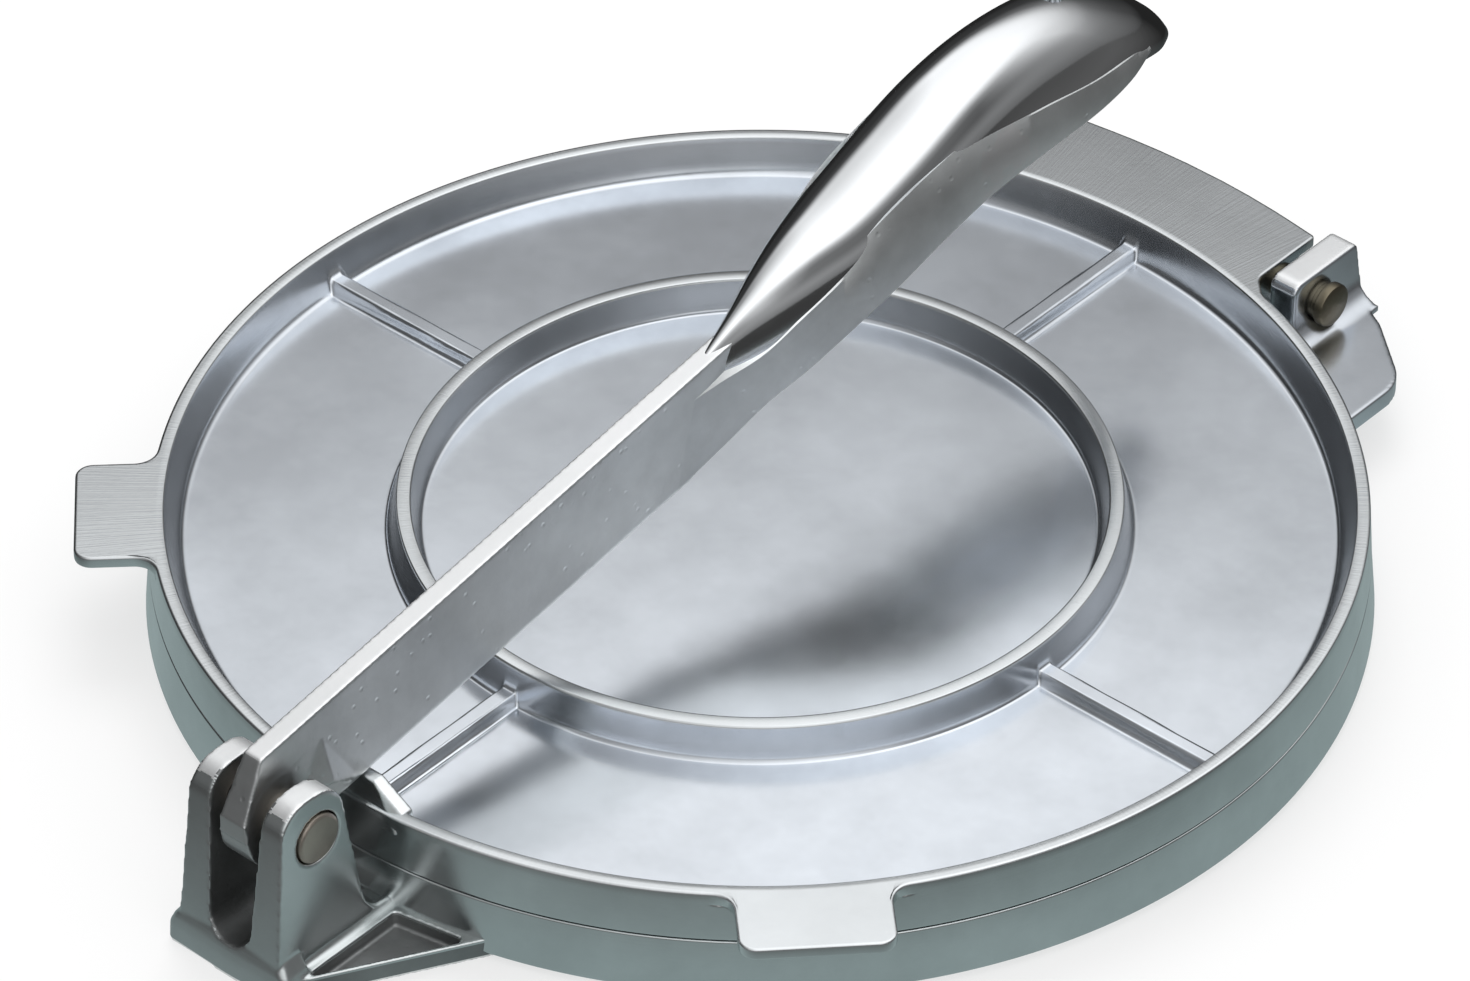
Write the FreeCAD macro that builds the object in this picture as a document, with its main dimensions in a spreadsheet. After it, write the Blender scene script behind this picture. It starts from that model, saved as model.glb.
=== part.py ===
import FreeCAD, Part
import math
import os
import Sketcher

# Hand tortilla press, closed, with its lever folded down over the plates.
# The origin lies on the table under the middle of the plates, +Z is up,
# the lever's clevis points to -Y and the hinge of the plates to +Y.

# Driving sizes in millimetres and degrees: name, value, meaning
SIZES = (
    ("plate_radius", 102.5, "outer radius of the upper plate's rim"),
    ("parting_spread", 0.6, "how far both plates stand out beyond the rim where they meet"),
    ("standing_spread", 1.5, "how far the base plate stands out beyond the rim near the table"),
    ("standing_edge", 1.4, "chamfer of the base plate's standing edge"),
    ("base_thickness", 11.4, "height of the base plate's pressing face"),
    ("plate_gap", 0.3, "parting gap between the closed plates"),
    ("upper_thickness", 9.3, "height of the upper plate's rim"),
    ("rim_crest", 2.3, "width of the rim's flat top"),
    ("rim_foot", 4.9, "width of the rim where its wall meets the floor"),
    ("rim_break", 3.9, "width of the rim where its wall breaks"),
    ("rim_break_depth", 4.2, "depth of that break below the rim's top"),
    ("pocket_depth", 6.6, "depth of the upper plate's pockets"),
    ("ring_radius", 60.0, "middle radius of the stiffening ring"),
    ("ring_crest", 2.35, "width of the ring's flat top"),
    ("ring_middle", 4.6, "width of the ring where its wall breaks"),
    ("ring_foot", 7.9, "width of the ring's foot"),
    ("ring_break_depth", 4.7, "depth of that break below the ring's top"),
    ("rib_width", 3.4, "width of the four ribs"),
    ("rib_height", 2.3, "height of the ribs above the pocket floor"),
    ("under_depth", 5.5, "depth of the hollows under the base plate"),
    ("under_rim", 3.2, "width of the standing rim under the base plate"),
    ("under_draft", 1.5, "draft of the walls under the base plate"),
    ("under_lift", 0.6, "height of the base plate's ring above the table"),
    ("tab_angle", 45.9, "angle of each lifting tab from the front"),
    ("tab_width", 25.3, "width of a lifting tab"),
    ("tab_reach", 12.6, "how far a tab reaches beyond the rim"),
    ("tab_thickness", 2.2, "thickness of a lifting tab"),
    ("tab_corner", 3.0, "corner radius of a tab"),
    ("tab_root", 4.0, "root radius of a tab"),
    ("tab_root_width", 7.5, "width of the root beside a tab"),
    ("tab_root_inset", 0.7, "how far inside the rim a tab's side ends"),
    ("tab_root_depth", 1.6, "how far its root runs on inwards"),
    ("pad_width", 11.0, "width of the pressure pad's crest"),
    ("pad_slope", 6.5, "length of the slope at each end of the pad"),
    ("pad_crest", 2.4, "thickness of the pad's crest"),
    ("pad_setback", 2.1, "distance of the pad's crest from the plate's edge"),
    ("pad_clearance", 0.3, "gap between the closed lever and the pad"),
    ("pad_sink", 0.1, "how far the ends of the pad sink into the rim"),
    ("wing_side_gap", 3.2, "gap between the hinge wing and an ear"),
    ("wing_reach", 16.9, "how far the hinge wing reaches beyond the rim"),
    ("wing_sweep", 2.2, "how far the wing's far corners fall back"),
    ("wing_thickness", 2.2, "thickness of the hinge wing"),
    ("wing_shoulder", 4.5, "width of the shoulder beside the wing"),
    ("wing_bow", 150.0, "radius of the wing's far edge"),
    ("wing_corner", 3.0, "corner radius of the wing's notch"),
    ("wing_notch_depth", 1.0, "how far the wing's shoulder reaches past an ear's front"),
    ("hinge_pin_out", 5.9, "distance of the hinge pin beyond the rim"),
    ("hinge_pin_radius", 3.0, "radius of the hinge pin's shank"),
    ("hinge_head_radius", 4.0, "radius of the hinge pin's heads"),
    ("hinge_head_length", 2.0, "length of a head"),
    ("hinge_neck_radius", 3.4, "radius of the neck behind a head"),
    ("hinge_neck_length", 0.9, "length of that neck"),
    ("head_chamfer", 0.6, "chamfer of a pin's end"),
    ("knuckle_radius", 4.7, "radius of the knuckles under the wing"),
    ("knuckle_length", 12.0, "length of each knuckle"),
    ("running_clearance", 0.06, "radial clearance of the turning parts on their pins"),
    ("ear_inner", 29.5, "distance of the hinge ears' inner faces from the middle plane"),
    ("ear_thickness", 5.5, "thickness of a hinge ear"),
    ("ear_front", 8.0, "depth of an ear in front of its pin"),
    ("ear_back", 9.6, "depth of an ear behind its pin at the top"),
    ("ear_spread", 2.4, "how far an ear's back spreads at its foot"),
    ("ear_rise", 6.9, "height of an ear above its pin"),
    ("ear_corner", 1.4, "radius of an ear's rear corner"),
    ("ear_front_corner", 2.4, "radius of an ear's front corner"),
    ("lug_lip", 1.5, "how far a hinge lug stands inwards of its ear"),
    ("lug_side", 20.6, "width of a lug beside its ear"),
    ("lug_thickness", 3.6, "thickness of a hinge lug"),
    ("lug_side_end", 2.0, "distance beyond the rim where a lug's side ends"),
    ("lug_shoulder_side", 8.0, "width of a lug beside its ear at the rear shoulder"),
    ("lug_shoulder_out", 12.5, "distance of that shoulder beyond the rim"),
    ("lug_edge", 1.0, "width of a lug beside its ear at the back"),
    ("lug_back", 16.3, "distance of a lug's back edge beyond the rim"),
    ("lug_corner", 9.0, "corner radius of a lug"),
    ("lug_neck", 2.6, "radius at the lug's rear shoulder"),
    ("lug_root", 32.5, "how far inside the rim a lug starts"),
    ("lever_pin_out", 15.6, "distance of the lever pin beyond the rim"),
    ("lever_pin_rise", 6.0, "height of the lever pin above the rim"),
    ("lever_pin_radius", 4.5, "radius of the lever pin"),
    ("lever_pin_proud", 0.4, "how far the lever pin stands out of the clevis"),
    ("clevis_half_width", 11.2, "half width of the clevis at the table"),
    ("clevis_draft", 1.1, "how much narrower each side of the clevis is at its top"),
    ("clevis_front", 27.3, "distance of the clevis' foot line beyond the rim"),
    ("clevis_lean", 4.1, "how far the clevis' front leans back at its top"),
    ("clevis_rise", 8.7, "height of the clevis above its pin"),
    ("clevis_back", 5.3, "depth of the clevis behind its pin at the top"),
    ("clevis_back_low", 9.6, "depth of the clevis behind its pin at the web"),
    ("clevis_front_corner", 5.5, "radius of the clevis' front top corner"),
    ("clevis_back_corner", 6.0, "radius of the clevis' back top corner"),
    ("clevis_back_foot", 2.0, "height above the web where the clevis' back starts to narrow"),
    ("slot_bottom", 6.2, "height of the slot's bottom"),
    ("slot_low_half", 4.3, "half width of the slot at its bottom"),
    ("slot_top_half", 5.8, "half width of the slot at its mouth"),
    ("slot_corner", 4.0, "radius of the slot's bottom corners"),
    ("foot_half_width", 13.5, "half width of the clevis' foot"),
    ("foot_height", 5.2, "height of the clevis' foot"),
    ("foot_front", 28.0, "distance of the foot's front beyond the rim"),
    ("foot_bow", 0.6, "how far the foot's front bows out in the middle"),
    ("foot_back", 24.0, "distance of the foot's back beyond the rim"),
    ("web_height", 3.8, "height of the webs between foot and plate"),
    ("web_spread", 30.0, "half width of the webs at the plate"),
    ("web_meet", 5.0, "how far inside the rim a web ends"),
    ("web_edge", 1.6, "width of the thin edge round a web's recess"),
    ("web_recess", 1.8, "depth of the recess in a web"),
    ("web_recess_corner", 1.0, "radius of the recess' two rear corners"),
    ("web_recess_tip", 0.6, "radius of its front corner"),
    ("bar_front", 24.4, "distance of the lever's nose beyond the rim"),
    ("bar_height", 19.0, "height of the lever's bar"),
    ("bar_lift", 4.5, "height of the bar's underside above the rim, over the web's end"),
    ("bar_slope", 0.159, "rise of the bar for each millimetre of its length"),
    ("bar_top_half", 1.9, "half width of the bar's top"),
    ("bar_low_half", 3.5, "half width of the bar's underside"),
    ("bar_end", 17.0, "distance behind the middle where the bar ends"),
    ("nose_flat", 9.5, "height of the nose's upright front"),
    ("nose_slope", 5.4, "how far the nose's upper front slopes back"),
    ("nose_corner", 2.0, "radius of the nose's top corner"),
    ("nose_rise", 1.2, "how far the top rises from the bar's end to that corner"),
    ("nose_chin", 0.5, "height of the chin above the bar's underside"),
    ("boss_radius", 8.6, "radius of the lever round its pin"),
    ("boss_half_width", 3.4, "half width of the lever round its pin"),
    ("bar_tail", 1.0, "distance behind the middle where the bar's underside turns up"),
    ("bar_tail_rise", 6.0, "how far the underside rises from there to the bar's end"),
    ("flare_half_width", 4.8, "half width of the pressing foot's ridge"),
    ("flare_front", 13.5, "distance of the pressing foot's front beyond the rim"),
    ("flare_ridge", 5.9, "distance of its ridge beyond the rim"),
    ("flare_back", 0.5, "how far inside the rim its back lies"),
    ("flare_low", 5.2, "height of the ridge's lower end above the bar's underside"),
    ("flare_top", 13.6, "height of the ridge's upper end above the bar's underside"),
    ("flare_front_low", 1.0, "how much lower the foot's front starts than its ridge"),
    ("flare_front_top", 2.2, "how much lower the foot's front ends than its ridge"),
    ("flare_sink", 0.4, "how far the foot's ends lie under the bar's side"),
    ("flare_back_low", 0.2, "height of the foot's back end above the bar's underside"),
    ("flare_back_height", 1.2, "height of that end"),
    ("handle_wall", 2.3, "wall of the hollow handle"),
    ("hang_hole_radius", 2.0, "radius of the hanging hole"),
    ("hang_hole_y", 74.3, "distance of the hanging hole behind the middle"),
)

# Stations of the handle's skin: lip y, lip z, spine y, spine z and half width.
# Their heights count from the bar's underside over the middle of the plates.
HANDLE_STATIONS = (
    (-13.0, -1.4, -14.0, 16.6, 3.2),
    (-5.7, 4.1, -6.5, 21.0, 4.9),
    (2.2, 9.1, 0.5, 25.0, 6.6),
    (10.2, 13.5, 8.0, 28.3, 8.4),
    (18.8, 18.0, 17.0, 31.2, 9.7),
    (30.0, 21.4, 30.0, 35.9, 10.6),
    (45.0, 25.0, 45.0, 41.2, 11.0),
    (60.0, 26.4, 60.0, 43.3, 11.0),
    (74.0, 26.4, 76.0, 41.4, 10.7),
    (86.0, 25.5, 90.0, 34.6, 9.6),
    (95.0, 22.7, 98.5, 27.8, 7.4),
    (101.0, 20.0, 103.6, 21.6, 4.2),
    (104.0, 18.4, 106.0, 18.3, 1.5),
)

# How far a solid reaches into the body it joins, or a cut past the body it trims
OVERLAP = 1.0


class Size:
    """A number together with the sheet expression that gives it."""

    def __init__(self, value, text):
        self.value = float(value)
        self.text = text

    def _with(self, other, sign, value):
        text = other.text if isinstance(other, Size) else repr(other)
        return Size(value, "(%s %s %s)" % (self.text, sign, text))

    def __add__(self, other):
        return self._with(other, "+", self.value + number(other))

    def __sub__(self, other):
        return self._with(other, "-", self.value - number(other))

    def __mul__(self, other):
        return self._with(other, "*", self.value * number(other))

    def __truediv__(self, other):
        return self._with(other, "/", self.value / number(other))

    def __neg__(self):
        return Size(-self.value, "(0 - %s)" % self.text)


def number(size):
    """The plain number of a size or of a number."""
    return size.value if isinstance(size, Size) else float(size)


class Sizes:
    """The driving sizes by name, each tied to its cell of the sheet."""


doc = FreeCAD.newDocument("tortilla_press")
sheet = doc.addObject("Spreadsheet::Sheet", "Sizes")
d = Sizes()
for row, (name, value, meaning) in enumerate(SIZES, start=1):
    sheet.set("A%d" % row, name)
    sheet.set("B%d" % row, repr(value))
    sheet.set("C%d" % row, meaning)
    sheet.setAlias("B%d" % row, name)
    setattr(d, name, Size(value, "Sizes.%s" % name))
doc.recompute()


def bind(item, prop, size):
    """Tie a property to the sheet."""
    if isinstance(size, Size):
        item.setExpression(prop, size.text)


def new_body(label):
    """A sub-part of its own."""
    body = doc.addObject("PartDesign::Body", label)
    body.Label = label
    body.Placement = FreeCAD.Placement()
    return body


def origin_feature(body, role):
    """A plane or an axis of the body's own origin."""
    for feature in body.Origin.OriginFeatures:
        if feature.Role == role:
            return feature
    raise RuntimeError("no origin feature " + role)


def new_sketch(body, name, role, offset=0.0, turn=None):
    """A sketch on a plane of the body's origin, moved along the plane's normal and turned in it."""
    sketch = body.newObject("Sketcher::SketchObject", name)
    sketch.AttachmentSupport = [(origin_feature(body, role), "")]
    sketch.MapMode = "FlatFace"
    angle = number(turn) if turn is not None else 0.0
    spin = FreeCAD.Rotation(FreeCAD.Vector(0, 0, 1), angle)
    sketch.AttachmentOffset = FreeCAD.Placement(FreeCAD.Vector(0, 0, number(offset)), spin)
    bind(sketch, "AttachmentOffset.Base.z", offset)
    if turn is not None:
        bind(sketch, "AttachmentOffset.Rotation.Angle", turn)
    return sketch


def fix_point(sketch, geometry, place, across, up):
    """Tie a point of the sketch to its two sizes."""
    for kind, size in (("DistanceX", across), ("DistanceY", up)):
        constraint = Sketcher.Constraint(kind, -1, 1, geometry, place, number(size))
        index = sketch.addConstraint(constraint)
        bind(sketch, "Constraints[%d]" % index, size)


def circle(sketch, across, up, radius):
    """A circle tied to the sheet."""
    centre = FreeCAD.Vector(number(across), number(up), 0)
    index = sketch.addGeometry(Part.Circle(centre, FreeCAD.Vector(0, 0, 1), number(radius)), False)
    fix_point(sketch, index, 3, across, up)
    constraint = sketch.addConstraint(Sketcher.Constraint("Radius", index, number(radius)))
    bind(sketch, "Constraints[%d]" % constraint, radius)


def corner_arc(before, corner, after, radius):
    """Where an arc of the radius touches the two edges at a corner, and its middle."""
    to_before = (before - corner).normalize()
    to_after = (after - corner).normalize()
    opening = to_before.getAngle(to_after)
    reach = radius / math.tan(opening / 2)
    middle = corner + (to_before + to_after).normalize() * (radius / math.sin(opening / 2))
    return corner + to_before * reach, corner + to_after * reach, middle


def outline(sketch, corners):
    """A closed outline. Each corner is (across, up) or (across, up, radius), tied to the sheet."""
    count = len(corners)
    points = [FreeCAD.Vector(number(c[0]), number(c[1]), 0) for c in corners]
    arrive = list(points)
    leave = list(points)
    middles = [None] * count
    for i in range(count):
        if len(corners[i]) == 3:
            found = corner_arc(points[i - 1], points[i], points[(i + 1) % count], number(corners[i][2]))
            arrive[i], leave[i], middles[i] = found
    edges = []
    for i in range(count):
        line = Part.LineSegment(leave[i], arrive[(i + 1) % count])
        edges.append(sketch.addGeometry(line, False))
    for i in range(count):
        before = edges[i - 1]
        after = edges[i]
        if middles[i] is None:
            sketch.addConstraint(Sketcher.Constraint("Coincident", before, 2, after, 1))
            fix_point(sketch, after, 1, corners[i][0], corners[i][1])
            continue
        turn = (points[i] - points[i - 1]).cross(points[(i + 1) % count] - points[i]).z
        ends = (arrive[i], leave[i]) if turn > 0 else (leave[i], arrive[i])
        angles = [math.atan2(end.y - middles[i].y, end.x - middles[i].x) for end in ends]
        round_edge = Part.Circle(middles[i], FreeCAD.Vector(0, 0, 1), number(corners[i][2]))
        arc = sketch.addGeometry(Part.ArcOfCircle(round_edge, angles[0], angles[1]), False)
        first, last = (1, 2) if turn > 0 else (2, 1)
        apex = sketch.addGeometry(Part.Point(points[i]), True)
        sketch.addConstraint(Sketcher.Constraint("Tangent", before, 2, arc, first))
        sketch.addConstraint(Sketcher.Constraint("Tangent", arc, last, after, 1))
        sketch.addConstraint(Sketcher.Constraint("PointOnObject", apex, 1, before))
        sketch.addConstraint(Sketcher.Constraint("PointOnObject", apex, 1, after))
        fix_point(sketch, apex, 1, corners[i][0], corners[i][1])
        index = sketch.addConstraint(Sketcher.Constraint("Radius", arc, number(corners[i][2])))
        bind(sketch, "Constraints[%d]" % index, corners[i][2])


def pad(body, name, sketch, length, symmetric=False):
    """A pad whose length is tied to the sheet."""
    feature = body.newObject("PartDesign::Pad", name)
    feature.Profile = sketch
    feature.Length = number(length)
    bind(feature, "Length", length)
    if symmetric:
        feature.SideType = "Symmetric"
    sketch.Visibility = False
    doc.recompute()
    return feature


def pocket(body, name, sketch, length, symmetric=False, reversed_way=False):
    """A pocket whose depth is tied to the sheet; it has to take something away."""
    before = body.Shape.Volume
    feature = body.newObject("PartDesign::Pocket", name)
    feature.Profile = sketch
    feature.Length = number(length)
    bind(feature, "Length", length)
    if symmetric:
        feature.SideType = "Symmetric"
    feature.Reversed = reversed_way
    doc.recompute()
    if body.Shape.Volume >= before - 1.0:
        raise RuntimeError(name + " takes nothing away")
    return feature


def mirrored(body, name, originals):
    """A copy of features on the other side of the middle plane."""
    feature = body.newObject("PartDesign::Mirrored", name)
    feature.Originals = originals
    feature.MirrorPlane = (origin_feature(body, "YZ_Plane"), [""])
    body.Tip = feature
    doc.recompute()
    return feature


def four_times(body, name, originals):
    """Copies of features at every quarter turn."""
    feature = body.newObject("PartDesign::PolarPattern", name)
    feature.Originals = originals
    feature.Axis = (origin_feature(body, "Z_Axis"), [""])
    feature.Angle = 360
    feature.Occurrences = 4
    body.Tip = feature
    doc.recompute()
    return feature


def loft(body, name, sketches):
    """A ruled body through sections."""
    feature = body.newObject("PartDesign::AdditiveLoft", name)
    feature.Profile = sketches[0]
    feature.Sections = sketches[1:]
    feature.Ruled = True
    doc.recompute()
    return feature


# Heights and places that several pieces share
upper_low = d.base_thickness + d.plate_gap
rim_top = upper_low + d.upper_thickness
floor_z = rim_top - d.pocket_depth
parting_radius = d.plate_radius + d.parting_spread
standing_radius = d.plate_radius + d.standing_spread
inside_plate = d.plate_radius - d.lug_root
web_end = d.plate_radius - d.web_meet
ear_outer = d.ear_inner + d.ear_thickness
hinge_pin_y = d.plate_radius + d.hinge_pin_out
hinge_pin_z = upper_low + d.knuckle_radius
lever_pin_y = d.plate_radius + d.lever_pin_out
lever_pin_z = rim_top + d.lever_pin_rise
foot_front = d.plate_radius + d.foot_front
foot_back = d.plate_radius + d.foot_back


def bar_bottom(distance):
    """Height of the bar's underside at a distance in front of the middle."""
    return rim_top + d.bar_lift + (web_end - distance) * d.bar_slope


# Base plate
base = new_body("base_plate")

profile = new_sketch(base, "base_profile", "XZ_Plane")
under_z = d.under_depth
ring_in = d.ring_radius - d.ring_foot / 2
ring_out = d.ring_radius + d.ring_foot / 2
under_wall = standing_radius - d.standing_edge - d.under_rim
outline(profile, [
    (0.0, under_z),
    (ring_in, under_z),
    (ring_in + d.under_draft, d.under_lift),
    (ring_out - d.under_draft, d.under_lift),
    (ring_out, under_z),
    (under_wall - d.under_draft, under_z),
    (under_wall, 0.0),
    (standing_radius - d.standing_edge, 0.0),
    (standing_radius, d.standing_edge),
    (parting_radius, d.base_thickness),
    (0.0, d.base_thickness),
])
disk = base.newObject("PartDesign::Revolution", "base_disk")
disk.Profile = profile
disk.ReferenceAxis = (profile, ["V_Axis"])
disk.Angle = 360
doc.recompute()

rib_sketch = new_sketch(base, "base_rib_outline", "XY_Plane", d.under_depth - d.rib_height)
rib_in = ring_out - d.under_draft
rib_out = under_wall - d.under_draft / 2
outline(rib_sketch, [
    (rib_in, -d.rib_width / 2),
    (rib_out, -d.rib_width / 2),
    (rib_out, d.rib_width / 2),
    (rib_in, d.rib_width / 2),
])
base_rib = pad(base, "base_rib", rib_sketch, d.rib_height + OVERLAP)
four_times(base, "base_ribs", [base_rib])

clevis_top = lever_pin_z + d.clevis_rise
clevis_foot = d.plate_radius + d.clevis_front
clevis_root = d.plate_radius - OVERLAP
clevis_sketch = new_sketch(base, "clevis_outline", "YZ_Plane")
outline(clevis_sketch, [
    (-clevis_foot, 0.0),
    (-clevis_root, 0.0),
    (-clevis_root, d.web_height),
    (-lever_pin_y + d.clevis_back_low, d.web_height + d.clevis_back_foot, d.clevis_back_corner),
    (-lever_pin_y + d.clevis_back, clevis_top, d.clevis_back_corner),
    (-clevis_foot + d.clevis_lean, clevis_top, d.clevis_front_corner),
])
pad(base, "clevis", clevis_sketch, d.clevis_half_width * 2, symmetric=True)

side_sketch = new_sketch(base, "clevis_side_outline", "XZ_Plane", standing_radius)
outline(side_sketch, [
    (d.clevis_half_width, 0.0),
    (d.clevis_half_width + OVERLAP, 0.0),
    (d.clevis_half_width + OVERLAP, clevis_top),
    (d.clevis_half_width - d.clevis_draft, clevis_top),
])
side_cut = pocket(base, "clevis_side", side_sketch, d.foot_front, reversed_way=True)
mirrored(base, "clevis_sides", [side_cut])

foot_sketch = new_sketch(base, "foot_outline", "XY_Plane")
outline(foot_sketch, [
    (-d.foot_half_width, -foot_back),
    (-d.foot_half_width, -foot_front + d.foot_bow, d.web_edge),
    (0.0, -foot_front),
    (d.foot_half_width, -foot_front + d.foot_bow, d.web_edge),
    (d.foot_half_width, -foot_back),
])
pad(base, "foot", foot_sketch, d.foot_height)

web_sketch = new_sketch(base, "web_outline", "XY_Plane")
outline(web_sketch, [
    (0.0, -foot_back),
    (d.foot_half_width, -foot_front + d.foot_height),
    (d.web_spread, -web_end),
    (0.0, -web_end),
])
web = pad(base, "web", web_sketch, d.web_height)
recess_sketch = new_sketch(base, "web_recess_outline", "XY_Plane", d.web_height)
recess_in = d.clevis_half_width + d.web_edge
outline(recess_sketch, [
    (recess_in, -foot_back + d.web_edge, d.web_recess_tip),
    (d.web_spread - d.web_edge * 3, -d.plate_radius, d.web_recess_corner),
    (recess_in, -standing_radius, d.web_recess_corner),
])
recess = pocket(base, "web_recess", recess_sketch, d.web_recess)
mirrored(base, "webs", [web, recess])

slot_sketch = new_sketch(base, "slot_outline", "XZ_Plane", standing_radius)
slot_mouth = clevis_top + OVERLAP
outline(slot_sketch, [
    (-d.slot_low_half, d.slot_bottom, d.slot_corner),
    (d.slot_low_half, d.slot_bottom, d.slot_corner),
    (d.slot_top_half, slot_mouth),
    (-d.slot_top_half, slot_mouth),
])
pocket(base, "slot", slot_sketch, d.foot_front, reversed_way=True)

lug_sketch = new_sketch(base, "lug_outline", "XY_Plane", d.base_thickness - d.lug_thickness)
lug_inner = d.ear_inner - d.lug_lip
outline(lug_sketch, [
    (lug_inner, inside_plate),
    (ear_outer + d.lug_side, inside_plate),
    (ear_outer + d.lug_side, d.plate_radius + d.lug_side_end, d.lug_corner),
    (ear_outer + d.lug_shoulder_side, d.plate_radius + d.lug_shoulder_out, d.lug_neck),
    (ear_outer + d.lug_edge, d.plate_radius + d.lug_back),
    (lug_inner, d.plate_radius + d.lug_back),
])
lug = pad(base, "lug", lug_sketch, d.lug_thickness)
ear_sketch = new_sketch(base, "ear_outline", "YZ_Plane", d.ear_inner)
ear_top = hinge_pin_z + d.ear_rise
ear_foot = d.base_thickness - d.lug_thickness / 2
outline(ear_sketch, [
    (hinge_pin_y - d.ear_front, ear_foot),
    (hinge_pin_y + d.ear_back + d.ear_spread, ear_foot),
    (hinge_pin_y + d.ear_back, ear_top, d.ear_corner),
    (hinge_pin_y - d.ear_front, ear_top, d.ear_front_corner),
])
ear = pad(base, "ear", ear_sketch, d.ear_thickness)
mirrored(base, "lugs", [lug, ear])

lever_bore = new_sketch(base, "lever_bore_outline", "YZ_Plane")
circle(lever_bore, -lever_pin_y, lever_pin_z, d.lever_pin_radius)
pocket(base, "lever_bore", lever_bore, d.foot_half_width * 2, symmetric=True)
hinge_bore = new_sketch(base, "hinge_bore_outline", "YZ_Plane")
circle(hinge_bore, hinge_pin_y, hinge_pin_z, d.hinge_pin_radius)
pocket(base, "hinge_bore", hinge_bore, (ear_outer + OVERLAP) * 2, symmetric=True)

# Upper plate
upper = new_body("upper_plate")

blank_sketch = new_sketch(upper, "blank_profile", "XZ_Plane")
outline(blank_sketch, [
    (0.0, upper_low),
    (parting_radius, upper_low),
    (d.plate_radius, rim_top),
    (0.0, rim_top),
])
blank = upper.newObject("PartDesign::Revolution", "blank")
blank.Profile = blank_sketch
blank.ReferenceAxis = (blank_sketch, ["V_Axis"])
blank.Angle = 360
doc.recompute()

tab_sketch = new_sketch(upper, "tab_outline", "XY_Plane", rim_top - d.tab_thickness, d.tab_angle)
tab_half = d.tab_width / 2
tab_root_y = d.plate_radius - d.tab_root_inset
tab_deep = tab_root_y - d.tab_root_depth
tab_end = d.plate_radius + d.tab_reach
outline(tab_sketch, [
    (-(tab_half + d.tab_root_width), -tab_deep),
    (-tab_half, -tab_root_y, d.tab_root),
    (-tab_half, -tab_end, d.tab_corner),
    (tab_half, -tab_end, d.tab_corner),
    (tab_half, -tab_root_y, d.tab_root),
    (tab_half + d.tab_root_width, -tab_deep),
])
tab = pad(upper, "tab", tab_sketch, d.tab_thickness)
mirrored(upper, "tabs", [tab])

wing_sketch = new_sketch(upper, "wing_outline", "XY_Plane", rim_top - d.wing_thickness)
wing_x = d.ear_inner - d.wing_side_gap
wing_notch = hinge_pin_y - d.ear_front + d.wing_notch_depth
wing_end = d.plate_radius + d.wing_reach
wing_corner_y = wing_end - d.wing_sweep
outline(wing_sketch, [
    (-(wing_x + d.wing_shoulder), inside_plate),
    (wing_x + d.wing_shoulder, inside_plate),
    (wing_x + d.wing_shoulder, wing_notch - d.wing_shoulder),
    (wing_x, wing_notch, d.wing_corner),
    (wing_x, wing_corner_y),
    (0.0, wing_end, d.wing_bow),
    (-wing_x, wing_corner_y),
    (-wing_x, wing_notch, d.wing_corner),
    (-(wing_x + d.wing_shoulder), wing_notch - d.wing_shoulder),
])
pad(upper, "wing", wing_sketch, d.wing_thickness)

knuckle_sketch = new_sketch(upper, "knuckle_outline", "YZ_Plane", wing_x - d.knuckle_length)
outline(knuckle_sketch, [
    (d.plate_radius - d.rim_foot, upper_low),
    (hinge_pin_y + d.knuckle_radius, upper_low, d.knuckle_radius),
    (hinge_pin_y + d.knuckle_radius, rim_top - d.wing_thickness / 2),
    (d.plate_radius - d.rim_foot, rim_top - d.wing_thickness / 2),
])
knuckle = pad(upper, "knuckle", knuckle_sketch, d.knuckle_length)
mirrored(upper, "knuckles", [knuckle])


def cut_round(name, corners):
    """A pocket turned about the middle."""
    sketch = new_sketch(upper, name + "_profile", "XZ_Plane")
    outline(sketch, corners)
    before = upper.Shape.Volume
    feature = upper.newObject("PartDesign::Groove", name)
    feature.Profile = sketch
    feature.ReferenceAxis = (sketch, ["V_Axis"])
    feature.Angle = 360
    doc.recompute()
    if upper.Shape.Volume >= before - 1.0:
        raise RuntimeError(name + " takes nothing away")


above = rim_top + OVERLAP
break_z = rim_top - d.rim_break_depth
ring_break_z = rim_top - d.ring_break_depth
cut_round("outer_pocket", [
    (d.ring_radius + d.ring_crest / 2, above),
    (d.ring_radius + d.ring_crest / 2, rim_top),
    (d.ring_radius + d.ring_middle / 2, ring_break_z),
    (ring_out, floor_z),
    (d.plate_radius - d.rim_foot, floor_z),
    (d.plate_radius - d.rim_break, break_z),
    (d.plate_radius - d.rim_crest, rim_top),
    (d.plate_radius - d.rim_crest, above),
])
cut_round("middle_pocket", [
    (0.0, floor_z),
    (ring_in, floor_z),
    (d.ring_radius - d.ring_middle / 2, ring_break_z),
    (d.ring_radius - d.ring_crest / 2, rim_top),
    (d.ring_radius - d.ring_crest / 2, above),
    (0.0, above),
])

top_rib_sketch = new_sketch(upper, "rib_outline", "XY_Plane", floor_z - OVERLAP)
rib_start = d.ring_radius + d.ring_crest / 2
rib_end = d.plate_radius - d.rim_crest
outline(top_rib_sketch, [
    (rib_start, -d.rib_width / 2),
    (rib_end, -d.rib_width / 2),
    (rib_end, d.rib_width / 2),
    (rib_start, d.rib_width / 2),
])
rib = pad(upper, "rib", top_rib_sketch, d.rib_height + OVERLAP)
four_times(upper, "ribs", [rib])

# The pad that the lever presses on is a raised stretch of the rim
crest_y = d.plate_radius - d.pad_setback
crest_z = bar_bottom(crest_y) - d.pad_clearance
pad_half = d.pad_width / 2
pad_low = rim_top - d.rim_crest


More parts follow.
